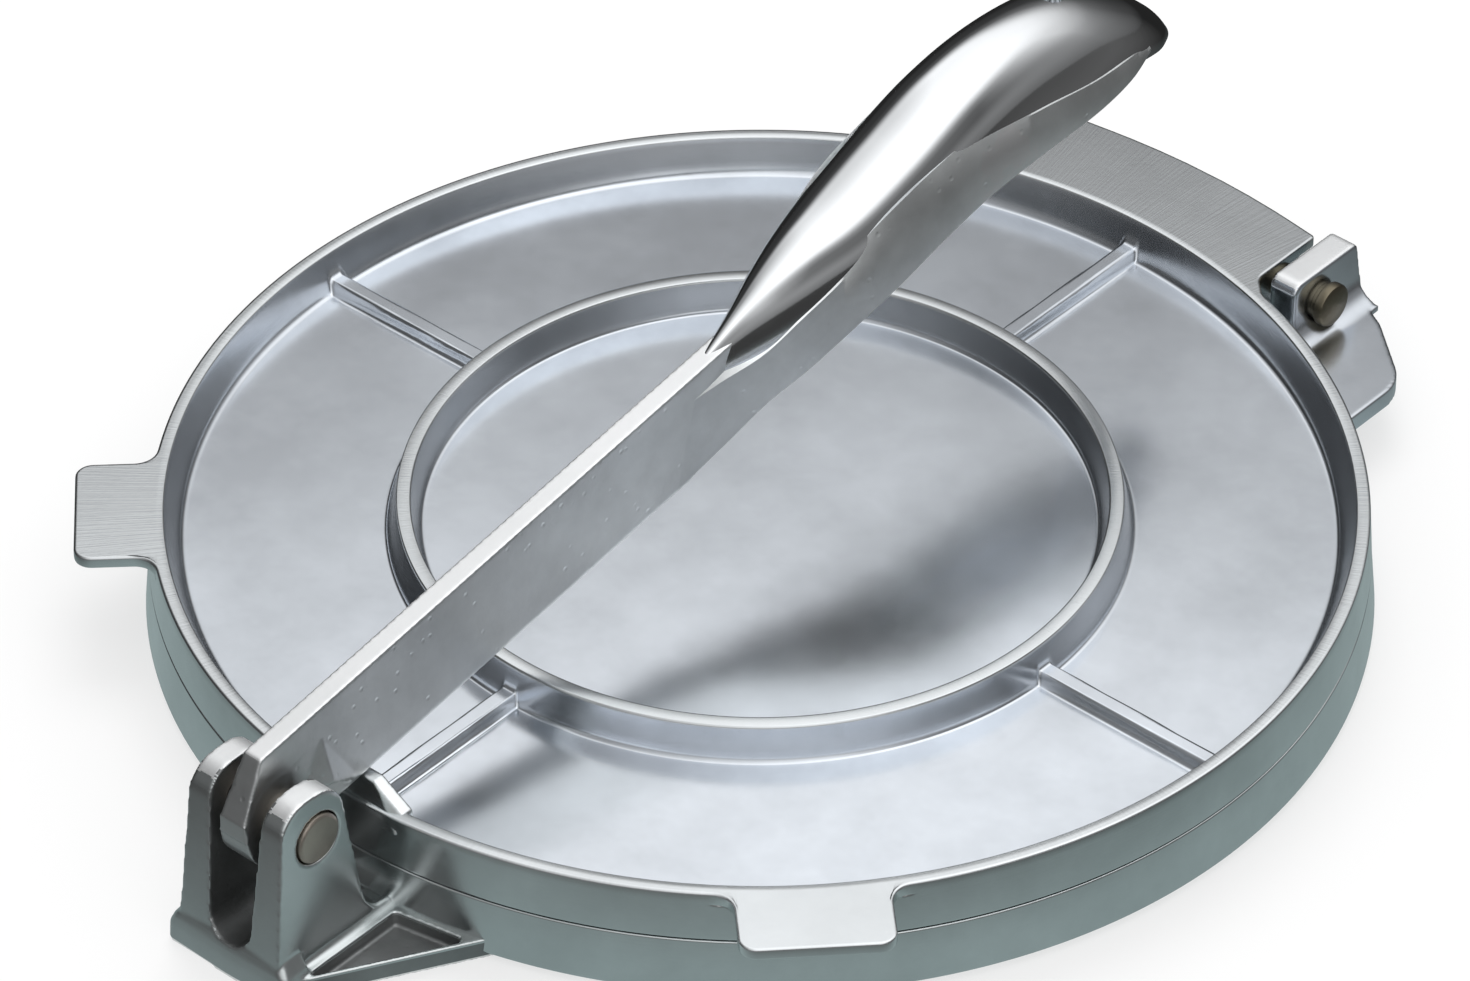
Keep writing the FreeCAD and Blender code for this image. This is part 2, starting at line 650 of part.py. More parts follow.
def pad_section(name, place, top):
    """A section of the pressure pad across the rim."""
    sketch = new_sketch(upper, name, "YZ_Plane", place)
    outline(sketch, [
        (-crest_y + d.pad_crest, pad_low),
        (-crest_y + d.pad_crest, top),
        (-crest_y, top),
        (-d.plate_radius + OVERLAP, pad_low),
    ])
    return sketch


end_x = pad_half + d.pad_slope
end_z = rim_top - d.pad_sink
loft(upper, "pressure_pad", [
    pad_section("pad_left_end", -end_x, end_z),
    pad_section("pad_left", -pad_half, crest_z),
    pad_section("pad_right", pad_half, crest_z),
    pad_section("pad_right_end", end_x, end_z),
])

upper_bore = new_sketch(upper, "upper_bore_outline", "YZ_Plane")
circle(upper_bore, hinge_pin_y, hinge_pin_z, d.hinge_pin_radius + d.running_clearance)
pocket(upper, "upper_bore", upper_bore, (wing_x + OVERLAP) * 2, symmetric=True)

# Lever: bar, nose and pressing foot
bar = new_body("lever_bar")
bar_nose = d.plate_radius + d.bar_front


def bar_section(name, distance):
    """A section of the bar across its length, wider below than above."""
    low = bar_bottom(distance)
    sketch = new_sketch(bar, name, "XZ_Plane", distance)
    outline(sketch, [
        (-d.bar_low_half, low),
        (d.bar_low_half, low),
        (d.bar_top_half, low + d.bar_height),
        (-d.bar_top_half, low + d.bar_height),
    ])
    return sketch


loft(bar, "bar", [bar_section("bar_front_end", bar_nose), bar_section("bar_back_end", -d.bar_end)])

boss_sketch = new_sketch(bar, "boss_outline", "YZ_Plane")
circle(boss_sketch, -lever_pin_y, lever_pin_z, d.boss_radius)
pad(bar, "boss", boss_sketch, d.boss_half_width * 2, symmetric=True)

nose_low = bar_bottom(bar_nose)
nose_top = nose_low + d.bar_height
nose_block = new_sketch(bar, "nose_outline", "YZ_Plane")
outline(nose_block, [
    (-bar_nose, nose_low + d.nose_chin),
    (-lever_pin_y, nose_low),
    (-lever_pin_y, lever_pin_z + d.boss_radius),
    (-bar_nose, nose_low + d.nose_flat + d.nose_corner),
])
pad(bar, "nose", nose_block, d.boss_half_width * 2, symmetric=True)

nose_sketch = new_sketch(bar, "nose_cut_outline", "YZ_Plane")
outline(nose_sketch, [
    (-bar_nose - OVERLAP, nose_low + d.nose_flat),
    (-bar_nose, nose_low + d.nose_flat),
    (-bar_nose + d.nose_slope, nose_top + d.nose_rise, d.nose_corner),
    (-bar_nose + d.nose_slope * 2, nose_top + d.nose_rise * 2),
    (-bar_nose - OVERLAP, nose_top + d.nose_rise * 2),
])
pocket(bar, "nose_cut", nose_sketch, d.bar_low_half * 4, symmetric=True)


def flare_section(name, distance, low, low_half, top, top_half):
    """A section of the pressing foot across the bar."""
    sketch = new_sketch(bar, name, "XZ_Plane", distance)
    outline(sketch, [
        (-low_half, low),
        (low_half, low),
        (top_half, top),
        (-top_half, top),
    ])
    return sketch


ridge_y = d.plate_radius + d.flare_ridge
ridge_low = bar_bottom(ridge_y) + d.flare_low
ridge_top = bar_bottom(ridge_y) + d.flare_top
back_y = d.plate_radius - d.flare_back
back_low = bar_bottom(back_y) + d.flare_back_low
loft(bar, "pressing_foot", [
    flare_section("flare_front_end", d.plate_radius + d.flare_front,
                  ridge_low - d.flare_front_low, d.bar_low_half - d.flare_sink,
                  ridge_top - d.flare_front_top, d.bar_top_half + d.flare_sink),
    flare_section("flare_ridge", ridge_y, ridge_low, d.flare_half_width,
                  ridge_top, d.bar_top_half + d.flare_sink),
    flare_section("flare_back_end", back_y, back_low, d.bar_low_half,
                  back_low + d.flare_back_height, d.bar_low_half - d.pad_sink),
])

tail_sketch = new_sketch(bar, "tail_outline", "YZ_Plane")
tail_low = bar_bottom(-d.bar_tail)
outline(tail_sketch, [
    (d.bar_tail, tail_low),
    (d.bar_tail, tail_low - OVERLAP),
    (d.bar_end + OVERLAP, tail_low - OVERLAP),
    (d.bar_end + OVERLAP, tail_low + d.bar_tail_rise),
])
pocket(bar, "tail_cut", tail_sketch, d.bar_low_half * 4, symmetric=True)

bar_bore = new_sketch(bar, "bar_bore_outline", "YZ_Plane")
circle(bar_bore, -lever_pin_y, lever_pin_z, d.lever_pin_radius + d.running_clearance)
pocket(bar, "bar_bore", bar_bore, d.bar_low_half * 4, symmetric=True)


# Lever: hollow handle, an arched skin over the end of the bar
def arch(lip_y, lip_z, spine_y, spine_z, half, wall, drop):
    """A closed arch from lip to lip over the spine; wall moves it inwards, drop lowers its lips."""
    lip = FreeCAD.Vector(0, lip_y, lip_z)
    rise = FreeCAD.Vector(0, spine_y - lip_y, spine_z - lip_z)
    height = rise.Length
    up = rise.normalize()
    half_width = half - wall
    points = []
    for step in range(13):
        angle = math.pi * step / 12
        across = half_width * math.copysign(abs(math.cos(angle)) ** 0.8, math.cos(angle))
        lift = (height - wall) * math.sin(angle) ** 0.9
        points.append(lip + FreeCAD.Vector(across, 0, 0) + up * lift)
    right = points[0] - up * drop
    left = points[-1] - up * drop
    curve = Part.BSplineCurve()
    curve.interpolate(points)
    edges = [curve.toShape()]
    if drop > 0:
        edges.append(Part.makeLine(points[-1], left))
        edges.append(Part.makeLine(left, right))
        edges.append(Part.makeLine(right, points[0]))
    else:
        edges.append(Part.makeLine(points[-1], points[0]))
    return Part.Wire(edges)


wall = sheet.get("handle_wall")
bar_middle = bar_bottom(0.0)
outer_skin = Part.makeLoft([arch(*station, 0.0, 0.0) for station in HANDLE_STATIONS], True, False)
hollow_part = HANDLE_STATIONS[2:-2]
inner_skin = Part.makeLoft([arch(*station, wall, wall * 2) for station in hollow_part], True, False)
handle = doc.addObject("Part::Feature", "handle_skin")
handle.Shape = outer_skin.cut(inner_skin)
handle.Placement = FreeCAD.Placement(FreeCAD.Vector(0, 0, number(bar_middle)), FreeCAD.Rotation())
bind(handle, "Placement.Base.z", bar_middle)

lever_solid = doc.addObject("Part::Fuse", "lever_solid")
lever_solid.Base = bar
lever_solid.Tool = handle
hang_hole = doc.addObject("Part::Cylinder", "hang_hole")
bind(hang_hole, "Radius", d.hang_hole_radius)
bind(hang_hole, "Height", d.bar_height * 2)
hang_hole.Placement = FreeCAD.Placement()
bind(hang_hole, "Placement.Base.y", d.hang_hole_y)
bind(hang_hole, "Placement.Base.z", bar_middle + d.bar_height)
lever = doc.addObject("Part::Cut", "lever")
lever.Base = lever_solid
lever.Tool = hang_hole
lever.Label = "lever"
doc.recompute()


# Pins
def new_pin(label, across, up, profile_corners):
    """A turned pin along X, its profile given as (along, radius) in its own frame."""
    body = new_body(label)
    sketch = new_sketch(body, label + "_profile", "XZ_Plane")
    outline(sketch, profile_corners)
    feature = body.newObject("PartDesign::Revolution", label + "_turned")
    feature.Profile = sketch
    feature.ReferenceAxis = (sketch, ["H_Axis"])
    feature.Angle = 360
    body.Placement = FreeCAD.Placement(FreeCAD.Vector(0, number(across), number(up)), FreeCAD.Rotation())
    bind(body, "Placement.Base.y", across)
    bind(body, "Placement.Base.z", up)
    doc.recompute()
    return body


clevis_at_pin = d.clevis_half_width - d.clevis_draft * (lever_pin_z / clevis_top)
pin_end = clevis_at_pin + d.lever_pin_proud
lever_pin = new_pin("lever_pin", -lever_pin_y, lever_pin_z, [
    (-pin_end, 0.0),
    (pin_end, 0.0),
    (pin_end, d.lever_pin_radius - d.head_chamfer),
    (pin_end - d.head_chamfer, d.lever_pin_radius),
    (-pin_end + d.head_chamfer, d.lever_pin_radius),
    (-pin_end, d.lever_pin_radius - d.head_chamfer),
])

neck_end = ear_outer + d.hinge_neck_length
head_end = neck_end + d.hinge_head_length
hinge_pin = new_pin("hinge_pin", hinge_pin_y, hinge_pin_z, [
    (-head_end, 0.0),
    (head_end, 0.0),
    (head_end, d.hinge_head_radius - d.head_chamfer),
    (head_end - d.head_chamfer, d.hinge_head_radius),
    (neck_end, d.hinge_head_radius),
    (neck_end, d.hinge_neck_radius),
    (ear_outer, d.hinge_neck_radius),
    (ear_outer, d.hinge_pin_radius),
    (-ear_outer, d.hinge_pin_radius),
    (-ear_outer, d.hinge_neck_radius),
    (-neck_end, d.hinge_neck_radius),
    (-neck_end, d.hinge_head_radius),
    (-head_end + d.head_chamfer, d.hinge_head_radius),
    (-head_end, d.hinge_head_radius - d.head_chamfer),
])

# Nothing is written unless every object and every sub-part is sound
for item in doc.Objects:
    if "Invalid" in item.State or "Error" in item.State:
        raise RuntimeError("failed object: %s %s" % (item.Label, item.State))
os.makedirs("parts", exist_ok=True)
for item in (base, upper, lever, lever_pin, hinge_pin):
    if item.Shape.isNull() or not item.Shape.isValid() or len(item.Shape.Solids) != 1:
        raise RuntimeError("unsound sub-part: %s" % item.Label)
    item.Shape.exportStep("parts/%s.step" % item.Label)
    print(item.Label, "volume %.1f mm3" % item.Shape.Volume)
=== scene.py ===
import math
from functools import partial

import bmesh
import bpy
from mathutils import Matrix, Vector


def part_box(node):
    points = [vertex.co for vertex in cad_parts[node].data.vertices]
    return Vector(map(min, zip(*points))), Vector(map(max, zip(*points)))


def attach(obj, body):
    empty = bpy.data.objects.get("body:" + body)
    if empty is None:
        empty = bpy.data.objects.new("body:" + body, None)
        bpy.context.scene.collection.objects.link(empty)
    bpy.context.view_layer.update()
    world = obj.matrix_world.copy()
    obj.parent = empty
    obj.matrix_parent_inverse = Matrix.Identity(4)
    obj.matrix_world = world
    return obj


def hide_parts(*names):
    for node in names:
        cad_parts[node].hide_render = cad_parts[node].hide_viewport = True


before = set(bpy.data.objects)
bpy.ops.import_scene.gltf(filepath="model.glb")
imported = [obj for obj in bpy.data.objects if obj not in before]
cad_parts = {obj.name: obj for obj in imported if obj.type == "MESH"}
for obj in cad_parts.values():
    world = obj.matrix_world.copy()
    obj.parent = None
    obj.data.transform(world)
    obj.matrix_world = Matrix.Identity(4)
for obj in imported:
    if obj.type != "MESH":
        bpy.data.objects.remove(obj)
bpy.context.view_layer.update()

# Looks of a hand tortilla press: cast aluminium plates, a polished lever and two pins,
# built round the packed frame in metres. The table is z = 0 and the lever's clevis points to -Y.

bl_info = {
    "name": "Tortilla press",
    "version": (1, 0, 0),
    "blender": (4, 5, 0),
    "location": "3D View > Sidebar > Press",
    "description": "Builds the cast plates, the lever, the pins and the studio of a hand tortilla press",
    "category": "Add Mesh",
}

MM = 0.001
HINGE_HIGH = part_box("hinge_pin")[1]
LEVER_PIN_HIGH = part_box("lever_pin")[1]

# The axes of the two pins in mm: how far along Y and how high
LEVER_AXIS = (-118.1, 27.0)
HINGE_AXIS = (108.4, 16.4)

# Places of a plate's metals in its list
FLOOR, GROUND, SIDE = range(3)

# From here on the upright part of a face's direction counts as looking up; such tops get the ground metal on
# the pad and a painted highlight on the clevis, lugs and bar
LOOKS_UP = 0.72


def sized(kind, **limits):
    """A way to make properties of one kind from a name, a description and a default."""
    def make(name, description, default):
        return kind(name=name, description=description, default=default, **limits)
    return make


length = sized(bpy.props.FloatProperty, unit="LENGTH", precision=5)
colour = sized(bpy.props.FloatVectorProperty, subtype="COLOR", min=0.0, max=1.0, size=3)
share = sized(bpy.props.FloatProperty, subtype="FACTOR", min=0.0, max=1.0)
whole = sized(bpy.props.IntProperty, min=0)
brightness = sized(bpy.props.FloatProperty, min=0.0)
power = sized(bpy.props.FloatProperty, min=0.0, unit="POWER")


class PressPlates(bpy.types.PropertyGroup):
    """Sizes of the two cast plates."""

    rim_top: length("Rim top", "Height of the upper plate's rim", 0.0210)
    parting: length("Parting", "Height where the two plates meet", 0.0114)
    rim_radius: length("Rim radius", "Outer radius at the rim's top", 0.1025)
    rim_crest: length("Rim crest", "Width of the rim's flat top", 0.0023)
    pocket_depth: length("Pocket depth", "Depth of the pockets in the upper plate", 0.0066)
    ring_radius: length("Ring radius", "Middle radius of the stiffening ring", 0.0600)
    ring_crest: length("Ring crest", "Width of the ring's flat top", 0.00235)
    rib_width: length("Rib width", "Width of a rib's flat top", 0.0028)
    rib_height: length("Rib height", "Height of a rib above the pocket floor", 0.0023)
    fillet: length("Fillet", "Size of the fillets at the foot of rim, ring and ribs", 0.0025)
    edge: length("Edge rounding", "Rounding of the cast edges", 0.00045)
    rib_count: whole("Ribs", "Number of ribs round the ring", 4)


class PressCastings(bpy.types.PropertyGroup):
    """How finely the small castings are made."""

    grain: length("Grain", "Size of the cells that the small castings are made of", 0.00034)
    lever_grain: length("Lever grain", "Size of the cells that the lever's bar is made of", 0.0003)
    softness: whole("Softness", "How often the cast edges are softened", 3)
    handle_wall: length("Handle wall", "Wall of the hollow handle", 0.0023)


# The metals: name, what is made of it, tone, roughness and further looks
METALS = (
    ("floor_aluminium", "pocket floors", (0.64, 0.67, 0.71), 0.20, dict(clouding=0.12, grain=0.03)),
    ("side_aluminium", "side walls", (0.58, 0.61, 0.61), 0.24,
     dict(clouding=0.10, grain=0.3, marks=0.5, turned=True)),
    ("ground_aluminium", "ground crests and tabs", (0.68, 0.70, 0.71), 0.24,
     dict(clouding=0.05, grain=0.45, marks=0.7)),
    # The tops' near-white tone is a painted highlight from above; their roughness and marks are their ground
    # finish
    ("top_aluminium", "ground tops of bar and ears", (0.97, 0.98, 0.98), 0.52,
     dict(clouding=0.05, grain=0.5, marks=0.4)),
    # The bar's and cheeks' tone is painted lighter towards the back as painted light
    ("bar_aluminium", "lever's bar and cheeks", (0.64, 0.655, 0.655), 0.38,
     dict(clouding=0.18, grain=0.5, pits=0.6, painted_lighter_back=0.48)),
    # The slot's and recesses' dark tone is painted shade; their roughness is their own
    ("raw_aluminium", "rough clevis slot and recesses", (0.27, 0.275, 0.275), 0.5,
     dict(clouding=0.25, grain=0.8, pits=0.5)),
    ("polished_aluminium", "polished handle", (0.76, 0.77, 0.78), 0.09, dict(clouding=0.03, grain=0.05)),
    ("pin_steel", "lever pin", (0.42, 0.37, 0.32), 0.36, dict(clouding=0.25, grain=0.9, pits=0.4)),
    ("pin_brass", "hinge pin", (0.16, 0.14, 0.10), 0.34, dict(clouding=0.22, grain=0.8, pits=0.3)),
)


def finish_settings():
    """A tone and a roughness for each of the metals."""
    settings = {}
    for name, part, tone, roughness, looks in METALS:
        settings[name + "_tone"] = colour(part.capitalize(), "Colour of the " + part, tone)
        settings[name + "_gloss"] = share("Roughness", "Roughness of the " + part, roughness)
    return settings


class PressFinish(bpy.types.PropertyGroup):
    """Tones and roughness of the metals."""

    __annotations__ = finish_settings()


class PressStudio(bpy.types.PropertyGroup):
    """Floor, lamps and cards of the studio."""

    floor_colour: colour("Floor colour", "Colour of the studio floor", (0.90, 0.90, 0.90))
    whiteness: share("Whiteness", "How far the floor is lifted to white for the camera", 0.6)
    sky: brightness("Sky", "Strength of the white surroundings", 1.0)
    key_power: power("Key lamp", "Power of the soft key lamp", 6.0)
    tent_level: brightness("Light tent", "Brightness of the tent that the metal shows", 1.36)
    # The tone of the painted table reflection, a glowing card that only the metal shows
    table_reflection_tone: colour("Table", "Tone of the table that the metal shows", (0.36, 0.435, 0.44))


# Meshes

def new_piece(name, mesh):
    """An object at the origin with the mesh."""
    mesh.name = name
    piece = bpy.data.objects.new(name, mesh)
    bpy.context.scene.collection.objects.link(piece)
    return piece


def settled(piece):
    """The piece with its modifiers made part of its mesh."""
    graph = bpy.context.evaluated_depsgraph_get()
    graph.update()
    mesh = bpy.data.meshes.new_from_object(piece.evaluated_get(graph))
    name = piece.name
    old = piece.data
    bpy.data.objects.remove(piece)
    bpy.data.meshes.remove(old)
    return new_piece(name, mesh)


def smooth(piece, angle=None):
    """Smooth shading, with edges sharper than the angle left crisp."""
    piece.data.polygons.foreach_set("use_smooth", [True] * len(piece.data.polygons))
    if angle is not None:
        piece.data.set_sharp_from_angle(angle=math.radians(angle))
    piece.data.update()
    return piece


def spun(point, turn):
    """The point turned about the middle, from X towards Y."""
    return Vector((point[0] * math.cos(turn) - point[1] * math.sin(turn),
                   point[0] * math.sin(turn) + point[1] * math.cos(turn)))


def rounded(corners, steps=6):
    """Points of an outline in mm; a corner (across, up, radius) is rounded."""
    points = []
    count = len(corners)
    for i, corner in enumerate(corners):
        here = Vector(corner[:2])
        if len(corner) == 2:
            points.append(here)
            continue
        before = (Vector(corners[i - 1][:2]) - here).normalized()
        after = (Vector(corners[(i + 1) % count][:2]) - here).normalized()
        opening = before.angle(after)
        reach = corner[2] / math.tan(opening / 2)
        middle = here + (before + after).normalized() * corner[2] / math.sin(opening / 2)
        start = here + before * reach - middle
        end = here + after * reach - middle
        turn = math.atan2(start.x * end.y - start.y * end.x, start.dot(end))
        for step in range(steps + 1):
            points.append(middle + spun(start, turn * step / steps))
    return points


def loft(work, sections):
    """Adds a closed solid through sections, lists of equally many points in mm."""
    rings = [[work.verts.new(Vector(p) * MM) for p in section] for section in sections]
    made = [work.faces.new(rings[0]), work.faces.new(list(reversed(rings[-1])))]
    for low, high in zip(rings, rings[1:]):
        for i in range(len(low)):
            made.append(work.faces.new([low[i - 1], low[i], high[i], high[i - 1]]))
    bmesh.ops.recalc_face_normals(work, faces=made)


def straight(axis, points, low, high):
    """Sections of a straight solid along an axis over an outline in the other two."""
    return [[(*point[:axis], end, *point[axis:]) for point in points] for end in (low, high)]


across, along, upward = (partial(straight, axis) for axis in range(3))


def disc(middle, radius, steps=40):
    """Points of a circle in mm."""
    turns = [2 * math.pi * i / steps for i in range(steps)]
    return [(middle[0] + radius * math.cos(t), middle[1] + radius * math.sin(t)) for t in turns]


def as_piece(work, name):
    """A mesh object of the finished work."""
    mesh = bpy.data.meshes.new(name)
    work.to_mesh(mesh)
    work.free()
    return new_piece(name, mesh)


def solid(name, *lofts):
    """A mesh object of one or more lofts, which may overlap."""
    work = bmesh.new()
    for sections in lofts:
        loft(work, sections)
    return as_piece(work, name)


def less(piece, *lofts):
    """The piece with the volume of the lofts taken away."""
    tool = solid("tool", *lofts)
    cut = piece.modifiers.new("cut", "BOOLEAN")
    cut.operation = "DIFFERENCE"
    cut.solver = "EXACT"
    cut.object = tool
    piece = settled(piece)
    bpy.data.objects.remove(tool)
    return piece


def joined(name, *pieces):
    """One object of several."""
    work = bmesh.new()
    for piece in pieces:
        work.from_mesh(piece.data)
        bpy.data.objects.remove(piece)
    return as_piece(work, name)


def cast(piece, grain, softness):
    """The piece as one casting: its parts run together and its edges are softened."""
    cells = piece.modifiers.new("cells", "REMESH")
    cells.mode = "VOXEL"
    cells.voxel_size = grain
    ease = piece.modifiers.new("ease", "SMOOTH")
    ease.factor = 0.5
    ease.iterations = softness
    return smooth(settled(piece))


def ground_and_highlighted_tops(piece, low):
    """Gives the second material to the faces that look up above a height in metres: the ground metal on the
    pad, and on the clevis, lugs and bar the near-white top metal, whose tone is a painted highlight.
    """
    for face in piece.data.polygons:
        if face.normal.z > LOOKS_UP and face.center.z > low:
            face.material_index = 1


def rough_painted_shade_insides(piece):
    """Gives the third material, rough and with painted shade as its dark tone, to the clevis slot's inside
    and to the recesses in the webs.
    """
    for face in piece.data.polygons:
        x, y, z = (abs(part) / MM for part in face.center)
        in_slot = x < 6.3 and 4.5 < z < 35.2 and abs(face.normal.y) < 0.6
        in_recess = x > 12.9 and 0.5 < z < 3.3 and y < 125.3
        if in_slot or in_recess:
            face.material_index = 2


def mirror_x(sections):
    """The sections on the other side of the middle plane."""
    return [[(-p[0], p[1], p[2]) for p in section] for section in sections]


def fillet(x, z, radius):
    """A fillet's points in mm from below its middle to beside it, towards -X."""
    turns = [math.pi / 2 * step / 8 for step in range(9)]
    return [(x - radius * math.sin(turn), z - radius * math.cos(turn)) for turn in turns]


# Materials

def node(tree, kind, settings=None, **sockets):
    """A node with its settings and its sockets, by name or by place (i0, i1), as values or links."""
    made = tree.nodes.new(kind)
    for key, value in (settings or {}).items():
        setattr(made, key, value)
    for key, value in sockets.items():
        by_place = key[0] == "i" and key[1:].isdigit()
        socket = made.inputs[int(key[1:]) if by_place else key.replace("_", " ")]
        if isinstance(value, bpy.types.NodeSocket):
            tree.links.new(value, socket)
        else:
            socket.default_value = value
    return made


def maths(tree, operation, *values):
    """The result of one step of arithmetic."""
    sockets = {"i%d" % i: value for i, value in enumerate(values)}
    return node(tree, "ShaderNodeMath", {"operation": operation}, **sockets).outputs[0]


def mapped(tree, value, low, high, to_low, to_high):
    """A value brought from one range to another."""
    return node(tree, "ShaderNodeMapRange", Value=value, From_Min=low, From_Max=high, To_Min=to_low,
                To_Max=to_high).outputs["Result"]


def noise(tree, place, scale, detail, roughness):
    """Noise from 0 to 1 at a place."""
    return node(tree, "ShaderNodeTexNoise", Vector=place, Scale=scale, Detail=detail,
                Roughness=roughness).outputs["Fac"]


def vectors(tree, operation, result=0, **sockets):
    """The result of one step of arithmetic with vectors."""
    return node(tree, "ShaderNodeVectorMath", {"operation": operation}, **sockets).outputs[result]


def bumped(tree, strength, depth, height, **sockets):
    """The normal that a height's bumps of a depth in metres give."""
    return node(tree, "ShaderNodeBump", Strength=strength, Distance=depth, Height=height,
                **sockets).outputs["Normal"]


def material_tree(name, cleared=True):
    """A new material and its node tree, emptied or as it comes."""
    material = bpy.data.materials.new(name)
    material.use_nodes = True
    if cleared:
        material.node_tree.nodes.clear()
    return material, material.node_tree


def metal(name, tone, roughness, clouding=0.06, grain=0.25, marks=0.0, turned=False, pits=0.0, painted_lighter_back=0.0):
    """Bare metal: faint clouding, a fine grain, brush marks that run outwards or round, and small pits.
    It can be painted lighter by a share from the front towards the back, as painted light that leaves the
    front darker."""
    material, tree = material_tree(name, cleared=False)
    shader = tree.nodes["Principled BSDF"]
    shader.inputs["Metallic"].default_value = 1.0
    place = node(tree, "ShaderNodeTexCoord").outputs["Object"]
    tones = node(tree, "ShaderNodeValToRGB", Fac=noise(tree, place, 38.0, 5.0, 0.6))
    for stop, position, lift in zip(tones.color_ramp.elements, (0.3, 0.7), (-clouding, clouding)):
        stop.position = position
        stop.color = [min(1.0, c * (1 + lift)) for c in tone] + [1.0]
    shade = tones.outputs["Color"]
    # Painted light: the tone is scaled up from the front towards the back
    if painted_lighter_back:
        back = node(tree, "ShaderNodeSeparateXYZ", Vector=place).outputs["Y"]
        gain = mapped(tree, back, -0.07, 0.02, 1.0, 1.0 + painted_lighter_back)
        shade = vectors(tree, "SCALE", i0=shade, Scale=gain)
    tree.links.new(shade, shader.inputs["Base Color"])
    wear = noise(tree, place, 120.0, 6.0, 0.65)
    gloss = mapped(tree, wear, 0.25, 0.75, roughness * 0.88, roughness * 1.12)
    tree.links.new(gloss, shader.inputs["Roughness"])
    height = noise(tree, place, 900.0, 4.0, 0.6)
    if marks:
        parts = node(tree, "ShaderNodeSeparateXYZ", Vector=place).outputs
        turn = maths(tree, "ARCTAN2", parts["Y"], parts["X"])
        reach = parts["Z"] if turned else vectors(tree, "LENGTH", "Value", i0=place)
        stretch = (2.0, 2600.0, 1.0) if turned else (260.0, 45.0, 1.0)
        strokes = node(tree, "ShaderNodeCombineXYZ", X=turn, Y=reach, Z=0.0).outputs[0]
        brush = noise(tree, vectors(tree, "MULTIPLY", i0=strokes, i1=stretch), 1.0, 3.0, 0.6)
        height = node(tree, "ShaderNodeMix", {"data_type": "FLOAT"}, Factor=marks, A=height,
                      B=brush).outputs["Result"]
    bump = bumped(tree, grain, 0.00006, height)
    if pits:
        cells = node(tree, "ShaderNodeTexVoronoi", Vector=place, Scale=300.0).outputs["Distance"]
        bump = bumped(tree, pits, 0.00008, mapped(tree, cells, 0.05, 0.16, 0.0, 1.0), Normal=bump)
    tree.links.new(bump, shader.inputs["Normal"])


def coat(piece, *metals):
    """The piece with metals, given by name, added to its list."""
    for name in metals:
        piece.data.materials.append(bpy.data.materials[name])
    return piece


def dress(piece, body, slot, *nodes):
    """The piece rides on its body and stands for its CAD nodes; the slot is not used."""
    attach(piece, body)
    if nodes:
        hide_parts(*nodes)


# Relief of the plates

def relief_tree(names):
    """Geometry nodes that press pockets, ring and ribs into a plate's face by a rule of radius and turn."""
    tree = bpy.data.node_groups.new("pocket_relief", "GeometryNodeTree")
    face = tree.interface
    face.new_socket("Geometry", in_out="INPUT", socket_type="NodeSocketGeometry")
    for name in names:
        face.new_socket(name, in_out="INPUT", socket_type="NodeSocketFloat")
    for name in ("Floor", "Crest"):
        face.new_socket(name, in_out="INPUT", socket_type="NodeSocketMaterial")
    face.new_socket("Geometry", in_out="OUTPUT", socket_type="NodeSocketGeometry")
    size = tree.nodes.new("NodeGroupInput").outputs

    do = partial(maths, tree)
    times = partial(do, "MULTIPLY")
    minus = partial(do, "SUBTRACT")

    place = tree.nodes.new("GeometryNodeInputPosition").outputs[0]
    parts = node(tree, "ShaderNodeSeparateXYZ", Vector=place).outputs
    radius = do("SQRT", do("ADD", times(parts["X"], parts["X"]), times(parts["Y"], parts["Y"])))
    floor = times(size["Depth"], -1.0)
    rim = times(minus(radius, size["Rim Edge"]), size["Rim Slope"])
    from_ring = minus(do("ABSOLUTE", minus(radius, size["Ring Radius"])), times(size["Ring Crest"], 0.5))
    ring = minus(times(from_ring, times(size["Ring Slope"], -1.0)), size["Ring Drop"])
    ring = do("SMOOTH_MIN", ring, times(size["Ring Drop"], -1.0), size["Edge"])
    sector = do("DIVIDE", 2 * math.pi, size["Ribs"])
    turn = do("ARCTAN2", parts["Y"], parts["X"])
    half_sector = times(sector, 0.5)
    fold = minus(do("FLOORED_MODULO", do("ADD", turn, half_sector), sector), half_sector)
    beside = minus(times(radius, do("ABSOLUTE", do("SINE", fold))), times(size["Rib Width"], 0.5))
    rib_top = do("ADD", floor, size["Rib Height"])
    rib = minus(rib_top, times(beside, size["Rib Slope"]))
    rib = do("SMOOTH_MIN", rib, rib_top, size["Edge"])
    outside = do("GREATER_THAN", radius, size["Ring Radius"])
    rib = do("ADD", times(rib, outside), times(minus(1.0, outside), floor))
    low = floor
    for part in (rib, ring, rim):
        low = do("SMOOTH_MAX", low, part, size["Fillet"])
    low = do("SMOOTH_MIN", low, 0.0, size["Edge"])

    field = node(tree, "GeometryNodeInputNamedAttribute", {"data_type": "FLOAT"}, Name="field")
    in_field = do("GREATER_THAN", field.outputs["Attribute"], 0.5)
    drop = times(times(low, times(size["Way"], -1.0)), in_field)
    offset = node(tree, "ShaderNodeCombineXYZ", X=0.0, Y=0.0, Z=drop).outputs[0]
    moved = node(tree, "GeometryNodeSetPosition", Geometry=size["Geometry"], Offset=offset).outputs[0]
    real = node(tree, "GeometryNodeRealizeInstances", Geometry=moved).outputs[0]
    high = do("GREATER_THAN", low, times(size["Edge"], -0.9))
    for chosen, finish in ((in_field, "Floor"), (times(in_field, high), "Crest")):
        real = node(tree, "GeometryNodeSetMaterial", Geometry=real, Selection=chosen,
                    Material=size[finish]).outputs[0]
    node(tree, "NodeGroupOutput", Geometry=real)
    return tree


